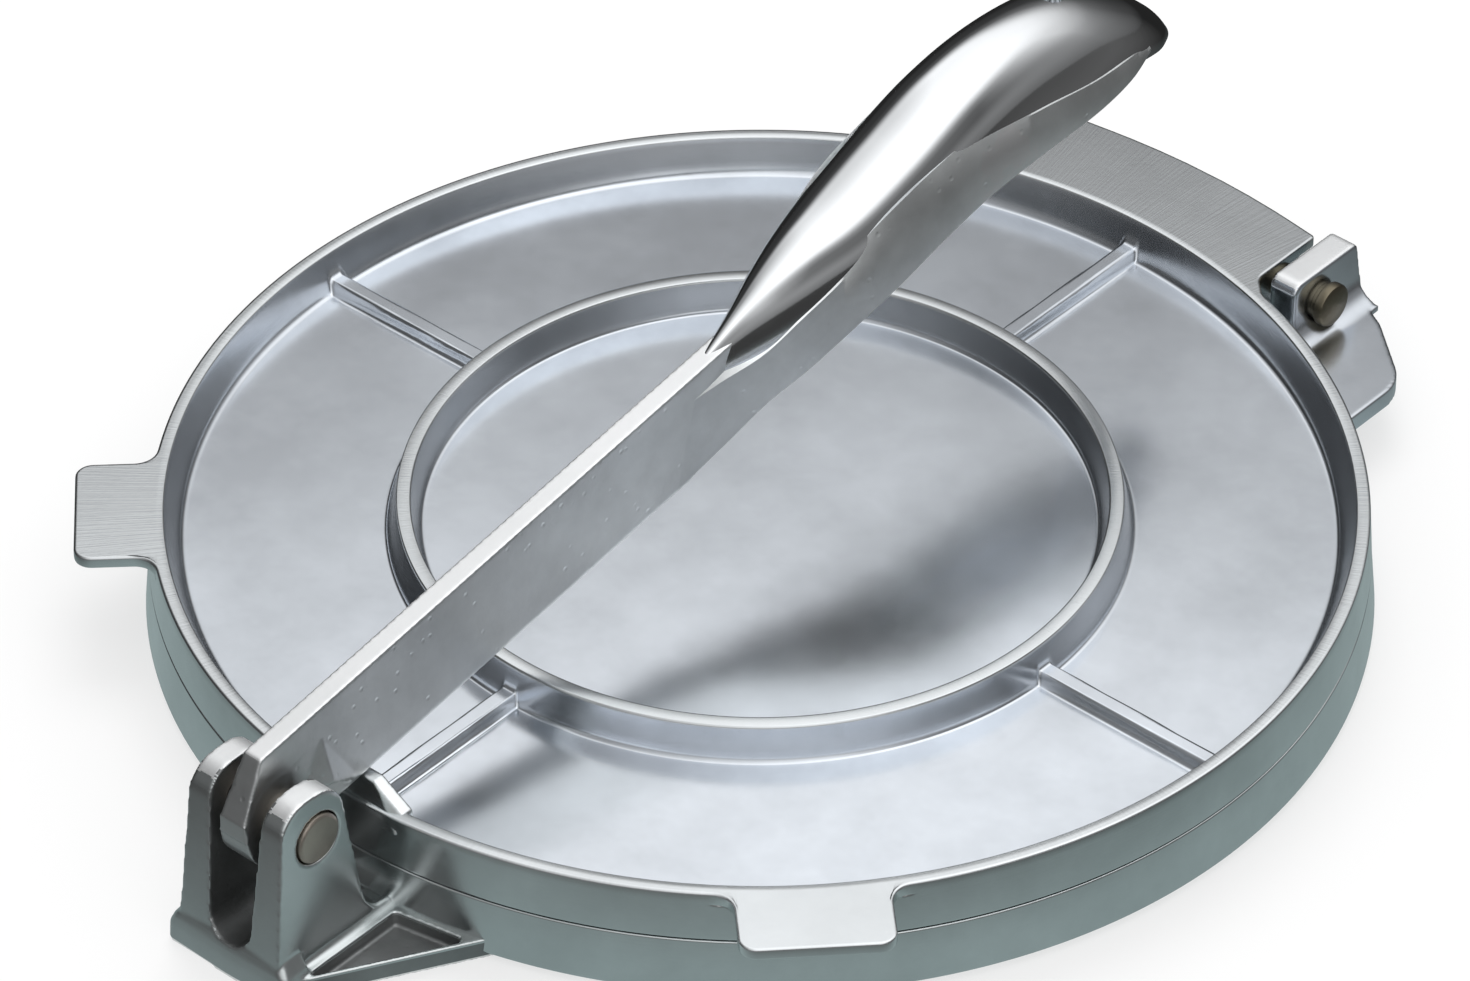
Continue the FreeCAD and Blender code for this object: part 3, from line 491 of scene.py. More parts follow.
def pressed(piece, relief, size, floor, crest):
    """The piece with the relief pressed into its face, in the metals named for floor and crests.
    Its sizes are in metres, and a way of 1 presses upwards from below."""
    relief |= {"Ribs": float(size.rib_count), "Rib Slope": 4.0, "Fillet": size.fillet, "Edge": size.edge}
    tree = bpy.data.node_groups.get("pocket_relief") or relief_tree(relief)
    press = piece.modifiers.new("relief", "NODES")
    press.node_group = tree
    keys = {item.name: item.identifier for item in tree.interface.items_tree if item.in_out == "INPUT"}
    for name, value in relief.items():
        press[keys[name]] = value
    for name, finish in (("Floor", floor), ("Crest", crest)):
        press[keys[name]] = bpy.data.materials[finish]
    return settled(piece)


def steps_between(low, high, step):
    """Evenly spaced values from low to high."""
    count = max(1, round((high - low) / step))
    return [low + (high - low) * i / count for i in range(count + 1)]


def face_radii(rim_edge, ring, ring_half, foot):
    """Radii in mm at which a plate's face has points, close together on its walls."""
    radii = steps_between(4.0, ring - foot - 1.0, 4.0)
    radii += steps_between(ring - foot, ring - ring_half - 0.15, 0.3)
    radii += [ring - ring_half, ring - ring_half + 0.2, ring + ring_half - 0.2, ring + ring_half]
    radii += steps_between(ring + ring_half + 0.15, ring + foot, 0.3)
    radii += steps_between(ring + foot + 1.0, rim_edge - foot - 1.0, 3.0)
    radii += steps_between(rim_edge - foot, rim_edge - 0.12, 0.3)
    return radii + [rim_edge]


def rib_turns(count):
    """Turns at which the rays run close together along the ribs, by their distance aside half way out."""
    half_way = 78.0
    turns = []
    for rib in range(count):
        for aside in (0.0, 0.35, 0.7, 1.0, 1.3, 1.55, 1.8, 2.1, 2.4, 2.75, 3.1, 3.6, 4.2, 5.0, 6.2, 8.0):
            for side in (-1, 1):
                turns.append(2 * math.pi * rib / count + side * math.asin(aside / half_way))
    return turns


def ray_turns(ribs, *lists):
    """Turns of the rays in order, near doubles left out: even ones, those along the ribs and the lists'."""
    full = 2 * math.pi
    least = 0.0008
    lists = (steps_between(0.0, full, math.radians(1.5))[:-1], rib_turns(ribs)) + lists
    turns = sorted(set(round(t % full, 6) for group in lists for t in group))
    kept = [turns[0]]
    for turn in turns[1:]:
        if turn - kept[-1] > least:
            kept.append(turn)
    return kept


def plate(name, rays):
    """A turned plate of rays. A ray lists stations from pole to pole: the point seen from above and its
    height in mm, whether the relief reaches it, and its metal."""
    work = bmesh.new()
    field = work.verts.layers.float.new("field")

    def vertex(station):
        made = work.verts.new(Vector((*station[0], station[1])) * MM)
        made[field] = station[2]
        return made

    above, below = vertex(rays[0][0]), vertex(rays[0][-1])
    rings = [[vertex(station) for station in ray[1:-1]] for ray in rays]
    metals = [station[3] for station in rays[0]]
    for here, there in zip([rings[-1]] + rings, rings):
        work.faces.new([above, here[0], there[0]]).material_index = metals[0]
        for i in range(len(here) - 1):
            work.faces.new([here[i], here[i + 1], there[i + 1], there[i]]).material_index = metals[i + 1]
        work.faces.new([below, there[-1], here[-1]]).material_index = metals[-1]
    return coat(as_piece(work, name), "floor_aluminium", "ground_aluminium", "side_aluminium")


# Outline of the upper plate, seen from above: its rim's radius in mm, how far its wall spreads for each
# mm downwards, the turn of the tabs from the front in degrees and the height of their undersides
RIM = 102.5
WALL_SPREAD = 0.0645
TAB_TURN = 45.9
TAB_LOW = 18.8


def on_rim(x):
    """The point of the rim at a distance beside the middle plane, on the far side."""
    return (x, math.sqrt(RIM * RIM - x * x))


def tab_path():
    """A tab's edge from rim to rim in mm, pointing away from the middle along +Y."""
    half, root, tip = 12.65, 101.9, 115.1
    return rounded([on_rim(17.5), (half, root, 4.0), (half, tip, 3.0), (-half, tip, 3.0),
                    (-half, root, 4.0), on_rim(-17.5)], steps=8)


def wing_path():
    """The hinge wing's edge from rim to rim in mm."""
    side = rounded([on_rim(30.6), (29.4, 98.4, 1.0), (26.3, 101.4, 3.0), (26.3, 117.2, 0.8), (20.0, 118.06)])
    bow = [Vector((x, 119.4 - x * x / 300.0)) for x in (16.0, 10.0, 4.0)]
    left = [Vector((-p.x, p.y)) for p in reversed(side + bow)]
    return side + bow + left


def turned_path(path, turn):
    """The path turned about the middle so that +Y points to the turn."""
    return [spun(point, turn - math.pi / 2) for point in path]


def edge_table():
    """Stretches of the outline that leave the rim: turns, points and inward directions."""
    table = []
    paths = [turned_path(tab_path(), math.radians(-90 + side * TAB_TURN)) for side in (-1, 1)]
    paths.append(turned_path(wing_path(), math.pi / 2))
    for path in paths:
        first, last = (math.atan2(end.y, end.x) % (2 * math.pi) for end in (path[0], path[-1]))
        reach = [0.0]
        for a, b in zip(path, path[1:]):
            reach.append(reach[-1] + (b - a).length)
        turns = [first + (last - first) * r / reach[-1] for r in reach]
        inwards = []
        for i in range(len(path)):
            run = path[min(i + 1, len(path) - 1)] - path[max(i - 1, 0)]
            inwards.append(Vector((-run.y, run.x)).normalized())
        table.append((turns, path, inwards))
    return table


def edge_at(table, turn):
    """The outline's point and inward direction on a ray."""
    for turns, path, inwards in table:
        for i in range(len(turns) - 1):
            if turns[i] <= turn <= turns[i + 1]:
                part = (turn - turns[i]) / (turns[i + 1] - turns[i])
                return path[i].lerp(path[i + 1], part), inwards[i].lerp(inwards[i + 1], part).normalized()
    ray = Vector((math.cos(turn), math.sin(turn)))
    return ray * RIM, -ray


def ramp(value, low, high):
    """How far a value has come from low to high, eased."""
    part = min(1.0, max(0.0, (value - low) / (high - low)))
    return part * part * (3 - 2 * part)


def upper_ray(table, turn, radii, top, bottom, rim_edge, edge):
    """Stations of the upper plate along one ray, from its middle above to its middle below."""
    ray = Vector((math.cos(turn), math.sin(turn)))
    point, inward = edge_at(table, turn)
    out = ramp(point.length, RIM + 0.05, RIM + 1.2)

    def wall(z):
        return ray * (RIM + (top - z) * WALL_SPREAD)

    stations = [(ray * 0.0, top, 1.0, FLOOR)]
    stations += [(ray * radius, top, 1.0, FLOOR if radius < rim_edge else GROUND) for radius in radii]
    stations += [(ray * radius, top, 0.0, GROUND) for radius in (rim_edge + 0.18, 101.5, 101.75)]
    for inset, drop in ((edge + 0.12, 0.0), (edge, 0.0), (edge * 0.42, edge * 0.13),
                        (edge * 0.1, edge * 0.45)):
        stations.append((point + inward * inset, top - drop, 0.0, GROUND))
    stations.append((wall(top - edge).lerp(point, out), top - edge, 0.0, SIDE))
    for inset, height in ((0.0, edge), (edge * 0.13, edge * 0.4), (edge * 0.45, edge * 0.1), (edge, 0.0)):
        z = TAB_LOW + height
        stations.append((wall(z).lerp(point + inward * inset, out), z, 0.0, SIDE))
    for z in (TAB_LOW - 0.02, TAB_LOW - 0.5, 15.0, bottom + 0.45, bottom + 0.3):
        stations.append((wall(z), z, 0.0, SIDE))
    low = RIM + (top - bottom) * WALL_SPREAD
    for radius, z in ((low - 0.03, bottom + 0.15), (low - 0.14, bottom + 0.04), (low - 0.3, bottom),
                      (low - 0.5, bottom), (60.0, bottom), (0.0, bottom)):
        stations.append((ray * radius, z, 0.0, SIDE))
    return stations


def base_ray(turn, radii, top):
    """Stations of the base plate along one ray, from its middle above to its middle below."""
    ray = Vector((math.cos(turn), math.sin(turn)))
    rim, foot = 103.1, 104.0
    profile = [(0.0, top), (60.0, top), (rim - 0.6, top), (rim - 0.35, top), (rim - 0.12, top - 0.05),
               (rim - 0.02, top - 0.2), (rim, top - 0.4), (rim + 0.02, top - 0.55), (103.5, 7.0),
               (foot - 0.03, 1.9), (foot, 1.6), (foot - 0.05, 1.35), (foot - 0.3, 1.05), (foot - 1.1, 0.25),
               (foot - 1.4, 0.05), (foot - 1.6, 0.0)]
    stations = [(ray * radius, z, 0.0, GROUND if z >= top - 0.01 else SIDE) for radius, z in profile]
    return stations + [(ray * radius, 0.0, 1.0, FLOOR) for radius in reversed([0.0] + radii)]


# Handle

# Stations of the handle in mm: lip y, lip z, spine y, spine z, half width and how hollow it is
HANDLE = (
    (-13.0, 39.6, -14.0, 57.6, 2.6, 0.0), (-5.7, 45.1, -6.5, 62.0, 4.4, 0.0),
    (2.2, 50.1, 0.5, 66.0, 6.6, 0.3), (10.2, 54.5, 8.0, 69.3, 8.4, 1.0), (18.8, 59.0, 17.0, 72.2, 9.7, 1.0),
    (30.0, 62.4, 30.0, 76.9, 10.6, 1.0), (45.0, 66.0, 45.0, 82.2, 11.0, 1.0),
    (60.0, 67.4, 60.0, 84.3, 11.0, 1.0), (74.0, 67.4, 76.0, 82.4, 10.7, 1.0),
    (86.0, 66.5, 90.0, 75.6, 9.6, 1.0), (95.0, 63.7, 98.5, 68.8, 7.4, 0.5),
    (101.0, 61.0, 103.6, 62.6, 4.2, 0.0), (103.6, 59.7, 105.2, 60.1, 1.9, 0.0),
)

# The cheeks that lead from the bar's faces to the handle's lips: a row for each section with
# its place along Y, the lower edge's height and half width, and the upper edge's
CHEEK = (
    (-40.0, 35.0, 3.2, 50.0, 1.8), (-26.0, 37.3, 3.4, 52.0, 1.9), (-14.0, 40.8, 4.1, 53.0, 2.75),
    (-4.5, 45.0, 5.5, 54.6, 4.6), (3.0, 48.2, 7.5, 58.6, 6.5), (12.2, 52.6, 9.6, 63.0, 8.15),
    (23.0, 57.0, 11.2, 68.3, 8.9), (34.0, 60.6, 11.7, 71.5, 9.6), (46.0, 63.2, 11.9, 73.5, 10.2),
    (60.0, 64.2, 11.9, 72.5, 10.75), (74.0, 64.4, 11.5, 70.5, 10.7), (84.0, 65.2, 10.5, 69.5, 9.9),
    (91.0, 66.5, 8.8, 68.0, 8.3),
)


def cheek_section(y, low, low_half, high, high_half):
    """A section of the right cheek in mm, thin enough to leave the handle's hollow open."""
    inner = max(0.0, low_half - 3.0)
    belly = (low_half + high_half) / 2 + 0.05 * max(0.0, high_half - 2.0)
    return [(inner, y, low), (low_half, y, low), (belly, y, (low + high) / 2), (high_half, y, high),
            (inner, y, high + 1.8), (inner, y, high)]


def between(values, place):
    """The stations' values at a place along them, on a smooth curve."""
    i = min(int(place), len(values) - 2)
    part = place - i
    near = [values[max(i - 1, 0)], values[i], values[i + 1], values[min(i + 2, len(values) - 1)]]
    return [0.5 * (2 * b + (c - a) * part + (2 * a - 5 * b + 4 * c - d) * part ** 2
                   + (3 * b - a - 3 * c + d) * part ** 3) for a, b, c, d in zip(*near)]


def handle_section(lip_y, lip_z, spine_y, spine_z, half, hollow, wall):
    """A closed section of the handle in mm: the arch over the spine, the lips and the hollow's arch."""
    lip = Vector((0.0, lip_y, lip_z))
    rise = Vector((0.0, spine_y - lip_y, spine_z - lip_z))
    height = rise.length
    up = rise.normalized()

    fullness = 0.94

    def arch(width, tall, steps, low):
        points = []
        for step in range(steps + 1):
            part = step / steps
            turn = low + (math.pi - 2 * low) * (part - 0.11 * math.sin(2 * math.pi * part))
            x = width * math.copysign(abs(math.cos(turn)) ** fullness, math.cos(turn))
            points.append(lip + Vector((x, 0.0, 0.0)) + up * (tall * math.sin(turn) ** fullness))
        return points

    hollow = max(hollow, 0.0)
    inner_half = max((half - wall) * max(hollow, 0.05), 0.05)
    inner_height = max((height - wall) * hollow, 0.02)
    flat = 0.3 * min(1.0, half / 4.0)
    outer = arch(half, height, 64, 0.004)
    inner = list(reversed(arch(inner_half, inner_height, 28, 0.01)))
    lips = (-half + flat, -inner_half - flat * 0.5)
    left = [lip + Vector((x, 0.0, 0.0)) for x in lips]
    right = [lip - Vector((x, 0.0, 0.0)) for x in reversed(lips)]
    return outer + left + inner + right


# Operators

class PRESS_OT_finishes(bpy.types.Operator):
    """Make the metals of the press"""
    bl_idname = "press.finishes"
    bl_label = "Metal finishes"

    def execute(self, context):
        finish = context.scene.press_finish
        for name, part, tone, roughness, looks in METALS:
            metal(name, getattr(finish, name + "_tone"), getattr(finish, name + "_gloss"), **looks)
        return {"FINISHED"}


class PRESS_OT_upper_plate(bpy.types.Operator):
    """Build the upper plate with its pockets, ribs, tabs, wing and pressure pad"""
    bl_idname = "press.upper_plate"
    bl_label = "Upper plate"

    def execute(self, context):
        size = context.scene.press_plates
        grain = context.scene.press_castings.grain
        top = size.rim_top / MM
        gap, ring_foot = 0.3, 5.2
        bottom = size.parting / MM + gap
        rim_edge = (size.rim_radius - size.rim_crest) / MM
        radii = face_radii(rim_edge, size.ring_radius / MM, size.ring_crest / MM / 2, ring_foot)
        table = edge_table()
        turns = ray_turns(size.rib_count, *[stretch[0] for stretch in table])
        rays = [upper_ray(table, turn, radii, top, bottom, rim_edge, size.edge / MM) for turn in turns]
        piece = pressed(plate("upper_disc", rays), {
            "Rim Edge": rim_edge * MM, "Rim Slope": 2.6, "Ring Radius": size.ring_radius,
            "Ring Crest": size.ring_crest, "Ring Slope": 4.2, "Ring Drop": 0.0, "Depth": size.pocket_depth,
            "Rib Width": size.rib_width, "Rib Height": size.rib_height, "Way": -1.0,
        }, size, "floor_aluminium", "ground_aluminium")
        dress(smooth(piece), "upper", "upper_casting", "upper_plate")

        sections = [[(x, -97.9, 17.0), (x, -98.0, crest), (x, -100.4, crest), (x, -102.35, 18.0)]
                    for x, crest in ((-12.0, 20.9), (-5.5, 24.74), (5.5, 24.74), (12.0, 20.9))]
        pad = coat(cast(solid("pressure_pad", sections), grain, 2), "side_aluminium", "ground_aluminium")
        ground_and_highlighted_tops(pad, 0.019)
        dress(pad, "upper", "upper_casting")

        outline = rounded([(99.5, bottom), (113.1, bottom, 4.7), (113.1, 20.0), (99.5, 20.0)], steps=12)
        knuckle = across(outline, 14.3, 26.3)
        knuckles = solid("hinge_knuckles", knuckle, mirror_x(knuckle))
        knuckles = less(knuckles, across(disc(HINGE_AXIS, 3.06), -30.0, 30.0))
        dress(coat(cast(knuckles, grain, 3), "side_aluminium"), "upper", "upper_casting")
        return {"FINISHED"}


class PRESS_OT_base_plate(bpy.types.Operator):
    """Build the base plate with the hollows under it"""
    bl_idname = "press.base_plate"
    bl_label = "Base plate"

    def execute(self, context):
        size = context.scene.press_plates
        rim_edge = 99.4
        radii = face_radii(rim_edge, 60.0, 2.45, 4.6)
        rays = [base_ray(turn, radii, size.parting / MM) for turn in ray_turns(size.rib_count)]
        piece = pressed(plate("base_disc", rays), {
            "Rim Edge": rim_edge * MM, "Rim Slope": 3.6, "Ring Radius": 0.06, "Ring Crest": 0.0049,
            "Ring Slope": 3.3, "Ring Drop": 0.0006, "Depth": 0.0055, "Rib Width": 0.0034,
            "Rib Height": 0.0023, "Way": 1.0,
        }, size, "floor_aluminium", "side_aluminium")
        dress(smooth(piece), "base", "base_casting", "base_plate")
        return {"FINISHED"}


class PRESS_OT_clevis(bpy.types.Operator):
    """Cast the clevis with its foot and webs"""
    bl_idname = "press.clevis"
    bl_label = "Clevis"

    def execute(self, context):
        grains = context.scene.press_castings
        top = 35.7
        side_view = rounded([(-129.8, 0.0), (-101.5, 0.0), (-101.5, 3.8), (-108.5, 5.8, 6.0),
                             (-112.8, top, 6.0), (-125.7, top, 5.5)], steps=10)
        block = [[(side * (11.2 - 1.1 * z / top), y, z) for y, z in side_view] for side in (-1, 1)]
        slot_outline = rounded([(-4.3, 6.2, 4.0), (4.3, 6.2, 4.0), (5.8, 37.0), (-5.8, 37.0)], steps=8)
        slot = along(slot_outline, -140.0, -95.0)
        bore = across(disc((-118.2, 27.12), 4.72), -20.0, 20.0)
        ears = less(less(solid("clevis", block), slot), bore)
        sections = []
        for z, half, front in ((0.0, 13.5, 129.9), (3.6, 13.3, 129.8), (5.2, 12.6, 129.5),
                               (6.6, 11.6, 129.0), (8.0, 10.6, 128.4)):
            outline = rounded([(-half, -124.0), (-half, -front, 1.4), (0.0, -front - 0.4),
                               (half, -front, 1.4), (half, -124.0)])
            sections.append([(x, y, z) for x, y in outline])
        foot = less(solid("foot", sections), slot)
        web = upward([(0.0, -126.5), (13.5, -125.8), (30.0, -97.5), (0.0, -97.5)], 0.0, 3.8)
        recess = upward(rounded([(13.0, -125.4, 0.5), (26.6, -101.6, 0.8), (13.0, -104.2, 0.8)]), 1.0, 6.0)
        webs = less(solid("web", web, mirror_x(web)), recess, mirror_x(recess))
        root = []
        for y, size in ((-127.5, 0.6), (-124.0, 1.4), (-118.0, 2.0), (-110.0, 2.0), (-103.0, 1.2)):
            x, z = 11.1 + size, 3.8 + size
            outline = [(10.0, 2.0), (x, 2.0)] + fillet(x, z, size) + [(10.0, z)]
            root.append([(x, y, z) for x, z in outline])
        roots = solid("roots", root, mirror_x(root))
        piece = cast(joined("clevis", ears, foot, webs, roots), grains.grain, grains.softness)
        coat(piece, "side_aluminium", "top_aluminium", "raw_aluminium")
        # Painted highlight: the clevis's upward tops get the near-white top metal
        ground_and_highlighted_tops(piece, 0.030)
        # Painted shade: the slot's inside and the web recesses get the dark rough metal
        rough_painted_shade_insides(piece)
        dress(piece, "base", "base_casting")
        return {"FINISHED"}


class PRESS_OT_hinge_lugs(bpy.types.Operator):
    """Cast the two hinge lugs with their ears"""
    bl_idname = "press.hinge_lugs"
    bl_label = "Hinge lugs"

    def execute(self, context):
        inner = [(x, math.sqrt(102.4 ** 2 - x * x)) for x in (28.0, 33.0, 38.0, 44.0, 50.0, 55.6)]
        lug = upward(rounded(inner + [(55.6, 104.5, 9.0), (43.0, 115.0, 2.6), (36.0, 118.8, 1.2),
                                      (28.0, 118.8, 1.2)]), 7.8, 11.4)
        ear = across(rounded([(100.4, 9.6), (120.4, 9.6), (118.0, 23.3, 1.4), (100.4, 23.3, 2.4)], steps=8),
                     29.5, 35.0)
        foot = along([(34.0, 10.0), (39.5, 10.0)] + fillet(39.5, 15.9, 4.5) + [(34.0, 15.9)], 100.6, 119.0)
        lofts = [lug, ear, foot]
        piece = solid("hinge_lugs", *lofts, *[mirror_x(part) for part in lofts])
        piece = cast(piece, context.scene.press_castings.grain, 4)
        coat(piece, "floor_aluminium", "top_aluminium")
        # Painted highlight: the ears' upward tops get the near-white top metal
        ground_and_highlighted_tops(piece, 0.020)
        dress(piece, "base", "base_casting")
        return {"FINISHED"}


class PRESS_OT_lever_bar(bpy.types.Operator):
    """Cast the lever's bar with its nose, boss and pressing foot, and form its cheeks"""
    bl_idname = "press.lever_bar"
    bl_label = "Lever bar"

    def execute(self, context):
        axis_y, axis_z = LEVER_AXIS
        boss_radius, tall, front = 8.6, 19.0, 126.9

        def low(distance):
            return 25.5 + (97.5 - distance) * 0.159

        def section(distance, z, low_half, top, top_half):
            return [(-low_half, -distance, z), (low_half, -distance, z), (top_half, -distance, top),
                    (-top_half, -distance, top)]

        def tapered(points):
            halves = [min(3.45, 3.6 - 1.6 * (z - low(-y)) / tall) for y, z in points]
            return [[(side * half, y, z) for half, (y, z) in zip(halves, points)] for side in (-1, 1)]

        nose = low(front)
        before = -front - 3.0
        bar = solid("lever_bar", [section(d, low(d), 3.5, low(d) + tall, 1.9) for d in (front, -17.0)])
        boss = solid("boss", tapered(disc(LEVER_AXIS, boss_radius)),
                     tapered([(-front, nose + 0.5), (axis_y, nose), (axis_y, 35.6), (-front, nose + 11.5)]))
        press = solid("press", [section(116.0, 28.0, 3.2, 35.2, 2.55), section(108.4, 29.0, 4.8, 37.4, 2.3),
                                section(102.0, low(102.0) + 0.2, 3.5, low(102.0) + 1.4, 3.4)])
        nose_cut = rounded([(before, nose + 9.5), (-front, nose + 9.5), (-front + 5.4, nose + 20.2, 2.0),
                            (-front + 10.8, nose + 21.6), (before, nose + 21.6)], steps=8)
        chin = [(axis_y - boss_radius * math.cos(t), axis_z - boss_radius * math.sin(t))
                for t in steps_between(0.0, math.pi / 2, math.radians(9.0))]
        chin_cut = [(before, axis_z)] + chin + [(axis_y, 14.0), (before, 14.0)]
        tail_cut = [(-22.0, 37.4), (-22.0, 33.0), (19.0, 33.0), (19.0, 54.0)]
        for outline in (nose_cut, chin_cut, tail_cut):
            bar = less(bar, across(outline, -14.0, 14.0))
        for outline in (nose_cut, chin_cut):
            boss = less(boss, across(outline, -14.0, 14.0))
        piece = cast(joined("lever_bar", bar, boss, press), context.scene.press_castings.lever_grain, 3)
        coat(piece, "bar_aluminium", "top_aluminium")
        # Painted highlight: the bar's upward top gets the near-white top metal
        ground_and_highlighted_tops(piece, 0.035)
        dress(piece, "lever", "lever_casting", "lever")

        places = steps_between(0.0, len(CHEEK) - 1.0, 0.1)
        cheek = [cheek_section(*between(CHEEK, place)) for place in places]
        cheeks = smooth(solid("lever_cheeks", cheek, mirror_x(cheek)), 30.0)
        dress(coat(cheeks, "bar_aluminium"), "lever", "lever_casting")
        return {"FINISHED"}


class PRESS_OT_lever_handle(bpy.types.Operator):
    """Form the hollow polished handle"""
    bl_idname = "press.lever_handle"
    bl_label = "Lever handle"

    def execute(self, context):
        wall = context.scene.press_castings.handle_wall / MM
        places = steps_between(0.0, len(HANDLE) - 1.0, 0.08)
        piece = solid("lever_handle", [handle_section(*between(HANDLE, place), wall) for place in places])
        piece = less(piece, upward(disc((0.0, 74.3), 2.0), 60.0, 100.0))
        dress(coat(smooth(piece, 38.0), "polished_aluminium"), "lever", "lever_casting")
        return {"FINISHED"}


def turned_pin(name, axis, half, finish):
    """A pin along X, turned from its profile's right half: (x, radius) in mm."""
    profile = [(-x, radius) for x, radius in reversed(half)] + half
    sections = [[(x, y, z) for y, z in disc(axis, radius, 48)] for x, radius in profile]
    return coat(smooth(solid(name, sections), 30.0), finish)


class PRESS_OT_pins(bpy.types.Operator):
    """Turn the lever pin and the hinge pin"""
    bl_idname = "press.pins"
    bl_label = "Pins"

    def execute(self, context):
        end = LEVER_PIN_HIGH.x / MM
        half = [(end - 0.62, 4.5), (end - 0.35, 4.44), (end - 0.12, 4.2), (end, 3.8)]
        piece = turned_pin("lever_pin_turned", LEVER_AXIS, half, "pin_steel")
        dress(piece, "base", "lever_pin_steel", "lever_pin")
        end = HINGE_HIGH.x / MM
        half = [(end - 2.9, 3.0), (end - 2.88, 3.4), (end - 2.0, 3.4), (end - 2.0, 3.85), (end - 1.85, 3.97),
                (end - 1.6, 4.0), (end - 0.6, 4.0), (end - 0.25, 3.86), (end, 3.4)]
        piece = turned_pin("hinge_pin_turned", HINGE_AXIS, half, "pin_brass")
        dress(piece, "base", "hinge_pin_brass", "hinge_pin")
        return {"FINISHED"}


# Studio

# Brightness of the light tent in hundredths: a row for each height above the table in degrees,
# a column for each 30 degrees of turn, starting at +X
TENT = (
    (0, (16, 12, 12, 2, 2, 2, 3, 4, 8, 12, 20, 20)),
    (10, (26, 18, 20, 6, 3, 3, 3, 4, 10, 18, 30, 32)),
    (20, (15, 8, 34, 13, 4, 3, 3, 4, 12, 30, 65, 85)),
    (30, (15, 10, 60, 34, 13, 8, 3, 3, 12, 35, 70, 90)),
    (36, (25, 20, 70, 58, 36, 38, 12, 4, 15, 38, 72, 95)),
    (41, (45, 50, 85, 74, 71, 76, 26, 4, 15, 42, 76, 98)),
    (46, (90, 95, 100, 90, 92, 94, 40, 6, 18, 48, 80, 100)),
    (55, (120, 120, 110, 100, 98, 90, 50, 20, 30, 55, 85, 105)),
    (70, (120, 120, 115, 105, 100, 95, 75, 60, 60, 70, 90, 105)),
    (90, (110,) * 12),
)

# Brightness of the far table in the painted table reflection, in hundredths, a column for each 30 degrees of
# turn, starting at +X
FAR_TABLE_REFLECTION = (5, 6, 12, 2, 2, 2, 2, 3, 8, 14, 16, 12)

# Points of a ring of a studio card, the tent's radius in metres and the lamp's place
CARD_POINTS = 72
TENT_RADIUS = 0.75
LAMP_PLACE = (-0.45, 0.55, 1.3)

# The camera: the turn, rise and tilt of its view in degrees, the point it looks at and how far it
# stands from it in metres, and its focal length and film width in mm
VIEW_ANGLES = (41.4856, 38.7962, 0.1693)
VIEW_AIM = (-0.010488, 0.0055005, 0.012)
VIEW_DISTANCE = 1.4
FOCAL_LENGTH = 201.87
FILM_WIDTH = 36.0


def at_turn(row, turn):
    """The value of a row of twelve hundredths at a turn in degrees, between its columns."""
    column = turn % 360 / 30
    left = int(column) % 12
    part = column - int(column)
    return (row[left] * (1 - part) + row[(left + 1) % 12] * part) / 100


def tent_tone(rise, turn):
    """Brightness of the light tent in a direction, both in degrees."""
    for (low, below), (high, above) in zip(TENT, TENT[1:]):
        if rise <= high:
            share_up = max(0.0, (rise - low) / (high - low))
            return at_turn(below, turn) * (1 - share_up) + at_turn(above, turn) * share_up


def ringed(rings):
    """Faces of a card between its rings of points, listed ring after ring."""
    faces = []
    for start in range(0, (rings - 1) * CARD_POINTS, CARD_POINTS):
        for i in range(CARD_POINTS):
            here, there = start + i, start + (i + 1) % CARD_POINTS
            faces.append((here, here + CARD_POINTS, there + CARD_POINTS, there))
    return faces


def shining(name, points, faces, tones, level):
    """A studio card that only shows in the metal, painted with the tone of its points."""
    mesh = bpy.data.meshes.new(name)
    mesh.from_pydata(points, [], faces)
    paint = mesh.attributes.new("tone", "FLOAT_COLOR", "POINT")
    for item, tone in zip(paint.data, tones):
        item.color = [*tone, 1.0]
    material, tree = material_tree(name)
    painted = node(tree, "ShaderNodeAttribute", {"attribute_name": "tone"}).outputs["Color"]
    light = node(tree, "ShaderNodeEmission", Color=painted, Strength=level).outputs[0]
    node(tree, "ShaderNodeOutputMaterial", Surface=light)
    mesh.materials.append(material)
    piece = new_piece(name, mesh)
    piece.visible_camera = piece.visible_diffuse = piece.visible_shadow = False


def tent(radius, level):
    """The light tent: a dome round the press, painted by height and turn."""
    rises = [0.04] + [3 * i for i in range(1, 30)]
    points, tones = [], []
    for rise in rises:
        flat, high = radius * math.cos(math.radians(rise)), radius * math.sin(math.radians(rise))
        points += [(x, y, high) for x, y in disc((0.0, 0.0), flat, CARD_POINTS)]
        tones += [tent_tone(rise, i * 360 / CARD_POINTS) for i in range(CARD_POINTS)]
    last = len(points) - CARD_POINTS
    faces = ringed(len(rises))
    faces += [(last + i, len(points), last + (i + 1) % CARD_POINTS) for i in range(CARD_POINTS)]
    points.append((0.0, 0.0, radius))
    tones.append(tent_tone(90, 0))
    shining("light_tent", points, faces, [(tone * 0.99, tone, tone * 1.01) for tone in tones], level)


def table_card(tone):
    """A painted reflection of the table, a glowing card that only shows in the metal: even beside the
    plates, and by turn further out.
    """
    rings = ((100.0, 1.0), (112.0, 1.0), (124.0, 0.75), (140.0, 0.4), (165.0, 0.1), (210.0, 0.0),
             (750.0, 0.0))
    points, tones = [], []
    for radius, near in rings:
        for i, (x, y) in enumerate(disc((0.0, 0.0), radius, CARD_POINTS)):
            far = at_turn(FAR_TABLE_REFLECTION, i * 360 / CARD_POINTS)
            points.append((x * MM, y * MM, 0.0005))
            tones.append([near * part + (1 - near) * far for part in tone])
    shining("table_card", points, [tuple(range(CARD_POINTS))] + ringed(len(rings)), tones, 1.0)


